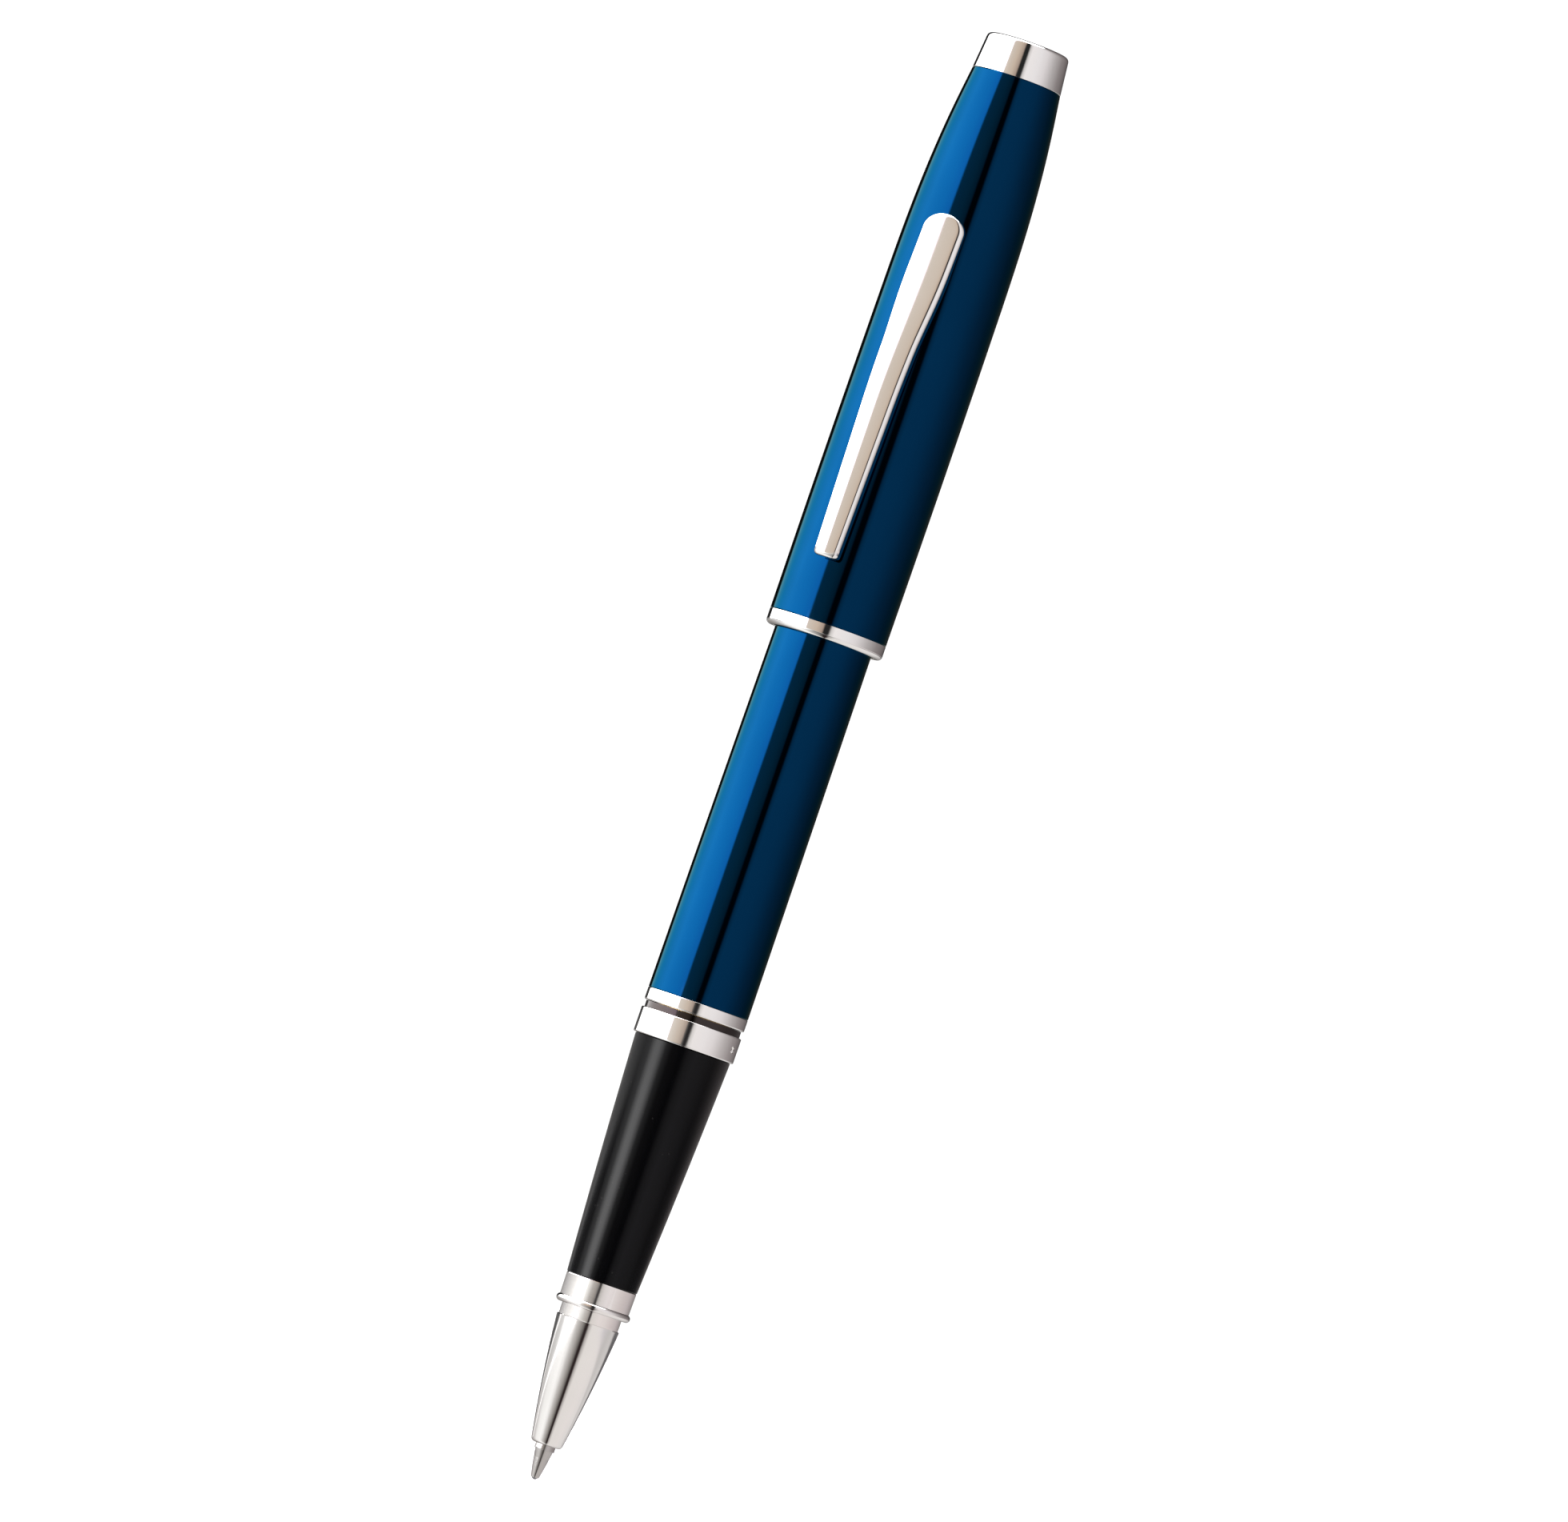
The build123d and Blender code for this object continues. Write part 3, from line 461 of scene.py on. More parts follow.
# --------------------------------------------------------------------------------------
# Modelling
# --------------------------------------------------------------------------------------
class Outline:
    """Half section of a turned piece, as (radius, height) points in millimetres."""

    ROUND_STEPS = 6
    SUPPORT = 0.25  # length of the straight piece kept beside a rounded corner, per its radius

    def __init__(self, radius: float, height: float, rounding: float = 0.0) -> None:
        """Start the outline.

        Args:
            radius: of the first point.
            height: of the first point.
            rounding: radius that its corner is rounded to.
        """
        self.corners = [(radius, height, rounding)]

    @classmethod
    def sleeve(cls, bore: float, radius: float, ends: Point, rounding: float) -> "Outline":
        """Outline of a plain ring.

        Args:
            bore: the inner radius.
            radius: the outer radius.
            ends: the lowest and the highest height.
            rounding: radius of the two outer edges.

        Returns:
            The outline.
        """
        low, high = ends
        return cls(bore, low).to(radius, low, rounding).to(radius, high, rounding).to(bore, high)

    def to(self, radius: float, height: float, rounding: float = 0.0) -> "Outline":
        """Go straight to a corner, and return the outline."""
        self.corners.append((radius, height, rounding))
        return self

    def bowed(self, radius: float, height: float, swell: float, steps: int = 16) -> "Outline":
        """Go to a point along a gentle curve that stands out from the straight line.

        Args:
            radius: of the end.
            height: of the end.
            swell: how far the curve stands out at its middle.
            steps: number of straight pieces.

        Returns:
            The outline.
        """
        from_radius, from_height, _ = self.corners[-1]
        for step in range(1, steps + 1):
            share = step / steps
            straight = from_radius + (radius - from_radius) * share
            out = straight + 4 * swell * share * (1 - share)
            self.to(out, from_height + (height - from_height) * share)
        return self

    def smooth(self, points: list[Point], steps: int = 10) -> "Outline":
        """Follow a natural cubic curve through points, from the last corner.

        Args:
            points: (radius, height) points, rising.
            steps: straight pieces between two points.

        Returns:
            The outline.
        """
        knots = [self.corners[-1][:2], *points]
        heights = np.array([height for _, height in knots])
        radii = np.array([radius for radius, _ in knots])
        for height in np.concatenate(
            [np.linspace(a, b, steps + 1)[1:] for a, b in zip(heights, heights[1:])]
        ):
            self.to(float(natural_cubic(heights, radii, height)), float(height))
        return self

    def points(self) -> list[Point]:
        """The outline's points, with its rounded corners worked out."""
        count = len(self.corners)
        found: list[Point] = []
        for index, (radius, height, rounding) in enumerate(self.corners):
            if rounding == 0.0:
                found.append((radius, height))
                continue
            corner = Vector((radius, height))
            back = Vector(self.corners[index - 1][:2]) - corner
            ahead = Vector(self.corners[(index + 1) % count][:2]) - corner
            found.extend(self._arc(corner, back.normalized(), ahead.normalized(), rounding))
        return found

    def _arc(self, corner: Vector, back: Vector, ahead: Vector, rounding: float) -> list[Point]:
        """Points of the arc that rounds a corner.

        Args:
            corner: the sharp corner.
            back: unit vector to the point before it.
            ahead: unit vector to the point after it.
            rounding: the arc's radius.

        Returns:
            The arc's points, in order.
        """
        half = back.angle(ahead) / 2
        centre = corner + (back + ahead).normalized() * rounding / math.sin(half)
        first = corner + back * rounding / math.tan(half) - centre
        last = corner + ahead * rounding / math.tan(half) - centre
        turn = math.atan2(first.x * last.y - first.y * last.x, first.dot(last))
        places = [centre + first + back * rounding * self.SUPPORT]
        for step in range(self.ROUND_STEPS + 1):
            angle = turn * step / self.ROUND_STEPS
            places.append(centre + Matrix.Rotation(angle, 2) @ first)
        places.append(centre + last + ahead * rounding * self.SUPPORT)
        return [(place.x, place.y) for place in places]


def natural_cubic(knots: np.ndarray, values: np.ndarray, place: float) -> float:
    """Value of the natural cubic spline through points.

    Args:
        knots: where the points are, rising.
        values: what they are.
        place: where the spline is read.

    Returns:
        Its value there.
    """
    steps = np.diff(knots)
    count = len(knots)
    matrix = np.eye(count)
    slopes = np.diff(values) / steps
    right = np.zeros(count)
    for i in range(1, count - 1):
        matrix[i, i - 1:i + 2] = (steps[i - 1], 2 * (steps[i - 1] + steps[i]), steps[i])
        right[i] = 6 * (slopes[i] - slopes[i - 1])
    bends = np.linalg.solve(matrix, right)
    i = int(np.clip(np.searchsorted(knots, place) - 1, 0, count - 2))
    low, high, step = place - knots[i], knots[i + 1] - place, steps[i]
    curved = (bends[i] * high**3 + bends[i + 1] * low**3) / (6 * step)
    straight = (values[i] / step - bends[i] * step / 6) * high
    return curved + straight + (values[i + 1] / step - bends[i + 1] * step / 6) * low


class Bench:
    """Modelling steps done with Blender's own operators."""

    SHARP_ANGLE = math.radians(32)
    WELD = 1e-7  # metres
    BEVEL_STEPS = 3  # across a bevelled edge of a block

    @staticmethod
    def begin() -> None:
        """Deselect everything, so that the next operator acts on the new primitive alone."""
        bpy.ops.object.select_all(action="DESELECT")

    @staticmethod
    def pick(piece: bpy.types.Object) -> None:
        """Select one piece and make it the active one."""
        bpy.ops.object.select_all(action="DESELECT")
        piece.select_set(True)
        bpy.context.view_layer.objects.active = piece

    @staticmethod
    def edit() -> None:
        """Go to edit mode with the whole mesh selected."""
        bpy.ops.object.mode_set(mode="EDIT")
        bpy.ops.mesh.select_all(action="SELECT")

    @classmethod
    def close(cls, name: str) -> bpy.types.Object:
        """Weld, orient and shade the mesh in edit mode, and leave edit mode.

        Args:
            name: the piece's name.

        Returns:
            The piece.
        """
        bpy.ops.mesh.select_all(action="SELECT")
        bpy.ops.mesh.remove_doubles(threshold=cls.WELD)
        bpy.ops.mesh.normals_make_consistent(inside=False)
        bpy.ops.object.mode_set(mode="OBJECT")
        piece = bpy.context.object
        piece.name = name
        piece.data.name = name
        cls.shade(piece)
        return piece

    @classmethod
    def shade(cls, piece: bpy.types.Object) -> None:
        """Shade a piece smooth, except across its sharp edges."""
        cls.pick(piece)
        bpy.ops.object.shade_smooth_by_angle(angle=cls.SHARP_ANGLE)

    @classmethod
    def turn(cls, name: str, outline: Outline) -> bpy.types.Object:
        """Turn an outline round the axis, ring by ring.

        Args:
            name: the piece's name.
            outline: a closed loop, or a line that starts and ends on the axis.

        Returns:
            The closed piece.
        """
        points = outline.points()
        solid = points[0][0] == 0.0
        rings = points[1:-1] if solid else [*points, points[0]]
        cls.begin()
        bpy.ops.mesh.primitive_circle_add(vertices=FACETS, radius=rings[0][0] * MM)
        cls.edit()
        bpy.ops.transform.translate(value=(0.0, 0.0, rings[0][1] * MM))
        for (from_radius, from_height), (radius, height) in zip(rings, rings[1:]):
            share = radius / from_radius
            rise = Vector((0.0, 0.0, height - from_height))
            cls.extrude(rise, (share, share), Vector((0.0, 0.0, height)))
        if solid:
            bpy.ops.mesh.extrude_region_move()
            bpy.ops.mesh.merge(type="CENTER")
            bpy.ops.mesh.select_all(action="DESELECT")
            bpy.ops.mesh.select_mode(type="EDGE")
            bpy.ops.mesh.select_non_manifold()
            bpy.ops.mesh.extrude_region_move()
            bpy.ops.mesh.merge(type="CENTER")
            bpy.ops.mesh.select_mode(type="VERT")
        return cls.close(name)

    @staticmethod
    def extrude(shift: Vector, scale: Point, centre: Vector) -> None:
        """Extrude the selected outline and resize the new one.

        Args:
            shift: how far it moves, in millimetres.
            scale: factors along X and Y.
            centre: the place that the resizing keeps, in millimetres.
        """
        bpy.ops.mesh.extrude_region_move(TRANSFORM_OT_translate={"value": shift * MM})
        bpy.ops.transform.resize(value=(*scale, 1.0), center_override=centre * MM)

    @staticmethod
    def choose(mesh: bpy.types.Mesh, wanted: Callable[[Vector], bool]) -> None:
        """Select the vertices that are wanted, and go to edit mode.

        Args:
            mesh: the mesh that is being edited.
            wanted: tells from a vertex's place whether it is selected.
        """
        bpy.ops.mesh.select_all(action="DESELECT")
        bpy.ops.object.mode_set(mode="OBJECT")
        for vertex in mesh.vertices:
            vertex.select = wanted(vertex.co)
        bpy.ops.object.mode_set(mode="EDIT")

    @classmethod
    def combine(cls, piece: bpy.types.Object, tool: bpy.types.Object, operation: str) -> None:
        """Cut a piece with a tool or join the tool to it, and remove the tool.

        Args:
            piece: the piece that is kept.
            tool: the other shape.
            operation: DIFFERENCE, UNION or INTERSECT.
        """
        cls.pick(piece)
        modifier = piece.modifiers.new(tool.name, "BOOLEAN")
        modifier.object = tool
        modifier.operation = operation
        modifier.solver = "EXACT"
        bpy.ops.object.modifier_apply(modifier=modifier.name)
        bpy.data.objects.remove(tool)
        cls.shade(piece)

    @classmethod
    def block(cls, name: str, low: Vector, high: Vector, edge: float) -> bpy.types.Object:
        """A box with bevelled edges.

        Args:
            name: the box's name.
            low: its lowest corner, in millimetres.
            high: its highest corner.
            edge: width of the bevel.

        Returns:
            The box, its place in its mesh.
        """
        cls.begin()
        bpy.ops.mesh.primitive_cube_add(size=1.0)
        cls.edit()
        bpy.ops.transform.resize(value=(high - low) * MM)
        bpy.ops.transform.translate(value=(low + high) / 2 * MM)
        bpy.ops.mesh.bevel(offset=edge * MM, segments=cls.BEVEL_STEPS, affect="EDGES")
        return cls.close(name)


class Workshop:
    """The frame's nodes, the finishes, and how a new piece is fitted to the frame."""

    def __init__(self, packed: dict) -> None:
        """Make the finishes and dress the CAD nodes.
        """
        effects = Effects()
        self.materials = {finish.name: finish.make(effects) for finish in FINISHES}
        self.slots = {row["node"]: row["material_slot"] for row in packed["record"]["subparts"]}
        groups = packed["record"]["behaviour"]["bodies"]
        self.bodies = {node: body for body, nodes in groups.items() for node in nodes}
        for name, node in packed["nodes"].items():
            node.data.materials.clear()
            node.data.materials.append(self.materials[self.slots[name]])

    @staticmethod
    def span(node: str) -> tuple[float, float]:
        """Lowest and highest height of a CAD node, in millimetres."""
        low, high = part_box(node)
        return low[2] / MM, high[2] / MM

    @staticmethod
    def radius(node: str) -> float:
        """Largest radius of a turned CAD node, in millimetres."""
        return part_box(node)[1][0] / MM

    def fit(self, piece: bpy.types.Object, node: str) -> bpy.types.Object:
        """Finish a piece as the CAD node that it stands for, and hide that node.

        Args:
            piece: the new piece.
            node: the CAD node.

        Returns:
            The piece.
        """
        slot = self.slots[node]
        piece.data.materials.clear()
        piece.data.materials.append(self.materials[slot])
        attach(piece, self.bodies[node])
        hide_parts(node)
        log.info("%s: %d faces, %s, for %s", piece.name, len(piece.data.polygons), slot, node)
        return piece


# --------------------------------------------------------------------------------------
# Sub-assemblies
# --------------------------------------------------------------------------------------
@dataclass
class WritingTip:
    """The refill's metal tip: a shank, a collar that seats in the nose, and a ground cone."""

    shop: Workshop
    ball_room: float = 0.36
    lip_radius: float = 0.42
    waist_radius: float = 0.80
    waist_height: float = 2.35
    cone_radius: float = 0.93
    collar_length: float = 0.57
    feed_bore: float = 0.49
    feed_low: float = 1.56
    mouth_depth: float = 0.06
    lip_edge: Point = (0.03, 0.04)
    lip_swell: float = 0.03
    waist_edge: Point = (0.02, 0.04)
    cone_round: float = 0.02
    collar_round: float = 0.05
    collar_behind_nose: float = 0.05

    def build(self) -> None:
        """Turn the socket that holds the ball."""
        low, high = self.shop.span("tip_socket")
        collar = self.shop.radius("tip_socket")
        collar_low = self.shop.span("nose_cone")[0] + self.collar_behind_nose - self.collar_length
        outline = (
            Outline(self.ball_room, self.ball_room)
            .to(self.ball_room, low + self.mouth_depth)
            .to(self.lip_radius - self.lip_edge[0], low)
            .to(self.lip_radius, low + self.lip_edge[1])
            .bowed(self.waist_radius, self.waist_height, self.lip_swell)
            .to(self.waist_radius + self.waist_edge[0], self.waist_height + self.waist_edge[1])
            .to(self.cone_radius, collar_low, self.cone_round)
            .to(collar, collar_low, self.collar_round)
            .to(collar, high)
            .to(self.feed_bore, high)
            .to(self.feed_bore, self.feed_low)
        )
        self.shop.fit(Bench.turn("tip_socket_ground", outline), "tip_socket")


@dataclass
class Section:
    """What the fingers hold: nose cone, front trim, grip and the two rings behind it."""

    shop: Workshop
    nose_front_radius: float = 1.60
    nose_round: float = 0.42
    nose_swell: float = 0.14
    nose_edge: float = 0.08
    spigot_radius: float = 2.75
    tip_bore: float = 1.10
    neck_bore: float = 2.30
    neck_front: float = 8.69
    neck_radius: float = 3.15
    neck_length: float = 1.15
    bead_length: float = 0.80
    bead_steps: int = 10
    trim_front_radius: float = 3.66
    trim_rear_radius: float = 3.70
    trim_edge: float = 0.06
    core_bore: float = 3.15
    core_seat: float = 3.74
    core_in_grip: float = 10.0
    grip_front_radius: float = 3.73
    grip_swell: float = 0.06
    grip_edge: float = 0.10
    ring_round: float = 0.12
    groove_edge: float = 0.04
    dimple_radius: float = 0.38
    dimple_depth: float = 0.16
    dimple_angle: float = -5.9
    punch_round: float = 0.1
    punch_length: float = 1.0
    bore_edge: float = 0.06
    fit_gap: float = 0.02
    bow_steps: int = 20

    def build(self) -> None:
        """Build every visible piece of the section."""
        self._nose()
        self._trim()
        self._grip()
        self._ring()
        self._groove()

    def _nose(self) -> None:
        """Satin cone with a rounded front and a fine edge at its rear."""
        low, spigot_high = self.shop.span("nose_cone")
        high = self.shop.span("front_trim")[0]
        rear = self.shop.radius("nose_cone")
        outline = (
            Outline(self.tip_bore, low + self.bore_edge)
            .to(self.tip_bore + self.bore_edge, low)
            .to(self.nose_front_radius, low, self.nose_round)
            .bowed(rear, high - self.nose_edge, self.nose_swell, self.bow_steps)
            .to(rear - self.nose_edge, high)
            .to(self.spigot_radius, high)
            .to(self.spigot_radius, spigot_high)
            .to(self.neck_bore, spigot_high)
            .to(self.neck_bore, self.neck_front)
            .to(self.tip_bore, self.neck_front)
        )
        self.shop.fit(Bench.turn("nose_cone_turned", outline), "nose_cone")

    def _trim(self) -> None:
        """Neck, half-round bead and plain collar in front of the grip."""
        low, spigot_high = self.shop.span("front_trim")
        high = self.shop.span("grip_sleeve")[0]
        nose_spigot_high = self.shop.span("nose_cone")[1]
        bead = self.shop.radius("front_trim")
        bead_low = low + self.neck_length
        foot = bead - self.bead_length / 2
        bore = self.spigot_radius + self.fit_gap
        outline = Outline(bore, low).to(self.neck_radius, low)
        outline.to(self.neck_radius, bead_low)
        for step in range(self.bead_steps + 1):
            angle = math.pi * (step / self.bead_steps - 0.5)
            outline.to(
                foot + (bead - foot) * math.cos(angle),
                bead_low + self.bead_length / 2 * (1 + math.sin(angle)),
            )
        (
            outline.to(self.trim_front_radius, bead_low + self.bead_length)
            .to(self.trim_rear_radius, high, self.trim_edge)
            .to(self.core_bore - self.fit_gap, high)
            .to(self.core_bore - self.fit_gap, spigot_high)
            .to(self.neck_bore, spigot_high)
            .to(self.neck_bore, nose_spigot_high)
            .to(bore, nose_spigot_high)
        )
        self.shop.fit(Bench.turn("front_trim_turned", outline), "front_trim")

    def _grip(self) -> None:
        """Tapered black sleeve."""
        low, high = self.shop.span("grip_sleeve")
        rear = self.shop.radius("grip_sleeve")
        outline = (
            Outline(self.core_bore, low)
            .to(self.grip_front_radius - self.grip_edge, low)
            .to(self.grip_front_radius, low + self.grip_edge)
            .bowed(rear, high - self.grip_edge, self.grip_swell, self.bow_steps)
            .to(rear - self.grip_edge, high)
            .to(self.core_seat, high)
            .to(self.core_seat, high - self.core_in_grip)
            .to(self.core_bore, high - self.core_in_grip)
        )
        self.shop.fit(Bench.turn("grip_sleeve_moulded", outline), "grip_sleeve")

    def _ring(self) -> None:
        """Wide chromed ring with a small blind dimple on its side."""
        ends = self.shop.span("section_ring")
        radius = self.shop.radius("section_ring")
        outline = Outline.sleeve(self.core_seat, radius, ends, self.ring_round)
        ring = Bench.turn("section_ring_turned", outline)
        Bench.combine(ring, self._dimple_tool(radius, sum(ends) / 2), "DIFFERENCE")
        self.shop.fit(ring, "section_ring")

    def _dimple_tool(self, radius: float, height: float) -> bpy.types.Object:
        """A short round-nosed punch that stands where the dimple goes.

        Args:
            radius: the ring's radius.
            height: the dimple's height.

        Returns:
            The punch.
        """
        outline = (
            Outline(0.0, 0.0)
            .to(self.dimple_radius, 0.0, self.punch_round)
            .to(self.dimple_radius, self.punch_length)
            .to(0.0, self.punch_length)
        )
        punch = Bench.turn("dimple_punch", outline)
        turn = math.radians(self.dimple_angle)
        outward = Vector((math.cos(turn), math.sin(turn), 0.0))
        bottom = outward * (radius - self.dimple_depth) * MM
        punch.matrix_world = (
            Matrix.Translation(bottom + Vector((0.0, 0.0, height * MM)))
            @ outward.to_track_quat("Z", "Y").to_matrix().to_4x4()
        )
        bpy.ops.object.transform_apply(location=True, rotation=True, scale=True)
        return punch

    def _groove(self) -> None:
        """Dark collar at the bottom of the groove between the two rings."""
        ends = self.shop.span("groove_collar")
        radius = self.shop.radius("groove_collar")
        outline = Outline.sleeve(self.core_seat, radius, ends, self.groove_edge)
        self.shop.fit(Bench.turn("groove_collar_turned", outline), "groove_collar")


@dataclass
class Barrel:
    """Lacquered tube with a chromed ring in front and a plug behind."""

    shop: Workshop
    ring_bore: float = 4.35
    ring_round: float = 0.12
    seam: float = 0.06
    insert_bore: float = 4.77
    insert_length: float = 6.80
    rear_bore: float = 4.25
    swell: float = 0.055
    tube_steps: int = 28
    plug_round: float = 1.20
    plug_fit: float = 0.02
    plug_front_round: float = 0.2
    plug_edge: float = 0.04
    plug_rim: Point = (2.2, 2.4)
    plug_hollow: float = 0.12

    def build(self) -> None:
        """Build the ring, the tube and the end plug."""
        self._ring()
        self._tube()
        self._plug()

    def _ring(self) -> None:
        """Narrow chromed ring."""
        ends = self.shop.span("barrel_ring")
        radius = self.shop.radius("barrel_ring")
        outline = Outline.sleeve(self.ring_bore, radius, ends, self.ring_round)
        self.shop.fit(Bench.turn("barrel_ring_turned", outline), "barrel_ring")

    def _tube(self) -> None:
        """Long tube that narrows a little towards its rear."""
        low, high = self.shop.span("barrel_tube")
        radius = self.shop.radius("barrel_ring")
        rear = self.shop.radius("barrel_end_plug")
        step = low + self.insert_length
        outline = (
            Outline(self.insert_bore, low)
            .to(radius - self.seam, low)
            .to(radius, low + self.seam)
            .bowed(rear, high, self.swell, self.tube_steps)
            .to(self.rear_bore, high)
            .to(self.rear_bore, step)
            .to(self.insert_bore, step)
        )
        self.shop.fit(Bench.turn("barrel_tube_lacquered", outline), "barrel_tube")

    def _plug(self) -> None:
        """Rounded plug, seen when the cap is off the rear end."""
        low, high = self.shop.span("barrel_end_plug")
        rear = self.shop.radius("barrel_end_plug")
        seat = self.shop.span("barrel_tube")[1]
        outline = (
            Outline(0.0, low)
            .to(self.rear_bore - self.plug_fit, low, self.plug_front_round)
            .to(self.rear_bore - self.plug_fit, seat)
            .to(rear - self.plug_edge, seat)
            .to(rear, seat + self.plug_edge)
            .to(rear, high, self.plug_round)
            .to(rear - self.plug_rim[0], high)
            .to(rear - self.plug_rim[1], high - self.plug_hollow)
            .to(0.0, high - self.plug_hollow)
        )
        self.shop.fit(Bench.turn("barrel_end_plug_moulded", outline), "barrel_end_plug")


@dataclass
class Cap:
    """Lacquered cap with a chromed band at its mouth and a chromed finial."""

    shop: Workshop
    mouth_bore: float = 5.425
    band_round: float = 0.45
    seam: float = 0.06
    spigot_radius: float = 5.705
    tube_bore: float = 5.725
    swell: float = 0.04
    swell_share: float = 0.23
    taper: float = 1.49
    side: tuple[Point, ...] = ((0.573, 0.01), (0.756, 0.13), (0.855, 0.36), (0.921, 0.61))
    top_bore: float = 4.095
    top_bore_length: float = 5.60
    seal_bore: float = 5.15
    stem_radius: float = 1.50
    finial_taper: float = 0.38
    finial_round: float = 0.48
    slot_gap: float = 0.15
    tang_width: float = 2.00
    tang_height: float = 2.20
    tang_below_clip_top: float = 1.05
    mouth_round: float = 0.08
    seal_gap: float = 0.02
    stem_round: float = 0.2
    slot_overrun: float = 1.0
    slot_corner: float = 0.1

    def build(self) -> None:
        """Build the band, the tube and the finial."""
        self._band()
        self._tube()
        self._finial()

    def side_points(self, gap: float) -> list[Point]:
        """Points of the cap's side, stood off by a gap.

        Args:
            gap: how far out, in millimetres.

        Returns:
            (radius, height) points from the band to the finial.
        """
        low, high = self.shop.span("cap_tube")
        length = high - low
        radius = self.shop.radius("cap_band")
        middle = [
            (radius - drop * self.taper + gap, low + share * length) for share, drop in self.side
        ]
        return [
            (radius + gap, low + self.seam),
            (radius + self.swell + gap, low + self.swell_share * length),
            *middle,
            (radius - self.taper + gap, high - self.seam),
        ]

    def _band(self) -> None:
        """Chromed band, rounded at the mouth, with the spigot that holds it in the tube."""
        low, spigot_high = self.shop.span("cap_band")
        high = self.shop.span("cap_tube")[0]
        radius = self.shop.radius("cap_band")
        outline = (
            Outline(self.mouth_bore, low, self.mouth_round)
            .to(radius, low, self.band_round)
            .to(radius, high - self.seam)
            .to(radius - self.seam, high)
            .to(self.spigot_radius, high)
            .to(self.spigot_radius, spigot_high)
            .to(self.mouth_bore, spigot_high)
        )
        self.shop.fit(Bench.turn("cap_band_turned", outline), "cap_band")

    def _tube(self) -> None:
        """Tube that draws in towards its top, with the slot for the clip's tang."""
        low, high = self.shop.span("cap_tube")
        shoulder = self.shop.span("clip_carrier")[1]
        seal_high = self.shop.span("tip_seal_cup")[1]
        side = self.side_points(0.0)
        top = side[-1][0]
        outline = (
            Outline(self.tube_bore, low)
            .to(side[0][0] - self.seam, low)
            .to(*side[0])
            .smooth(side[1:])
            .to(top - self.seam, high)
            .to(self.top_bore, high)
            .to(self.top_bore, high - self.top_bore_length)
            .to(self.seal_bore + self.seal_gap, seal_high)
            .to(self.seal_bore + self.seal_gap, shoulder)
            .to(self.tube_bore, shoulder)
        )
        tube = Bench.turn("cap_tube_lacquered", outline)
        tang_high = self.shop.span("clip")[1] - self.tang_below_clip_top
        half = self.tang_width / 2 + self.slot_gap
        outside = -side[0][0] - self.slot_overrun
        inside = -self.mouth_bore + self.slot_overrun
        slot = Bench.block(
            "clip_slot",
            Vector((-half, outside, tang_high - self.tang_height - self.slot_gap)),
            Vector((half, inside, tang_high + self.slot_gap)),
            self.slot_corner,
        )
        Bench.combine(tube, slot, "DIFFERENCE")
        self.shop.fit(tube, "cap_tube")

    def _finial(self) -> None:
        """Chromed end, turned on the stem that the nut holds."""
        low, high = self.shop.span("cap_finial")
        seat = self.shop.span("cap_tube")[1]
        radius = self.shop.radius("cap_finial")
        edge = radius - self.finial_taper
        outline = (
            Outline(0.0, low)
            .to(self.stem_radius, low, self.stem_round)
            .to(self.stem_radius, seat)
            .to(radius - self.seam, seat)
            .to(radius, seat + self.seam)
            .to(edge, high, self.finial_round)
            .to(0.0, high)
        )
        self.shop.fit(Bench.turn("cap_finial_turned", outline), "cap_finial")


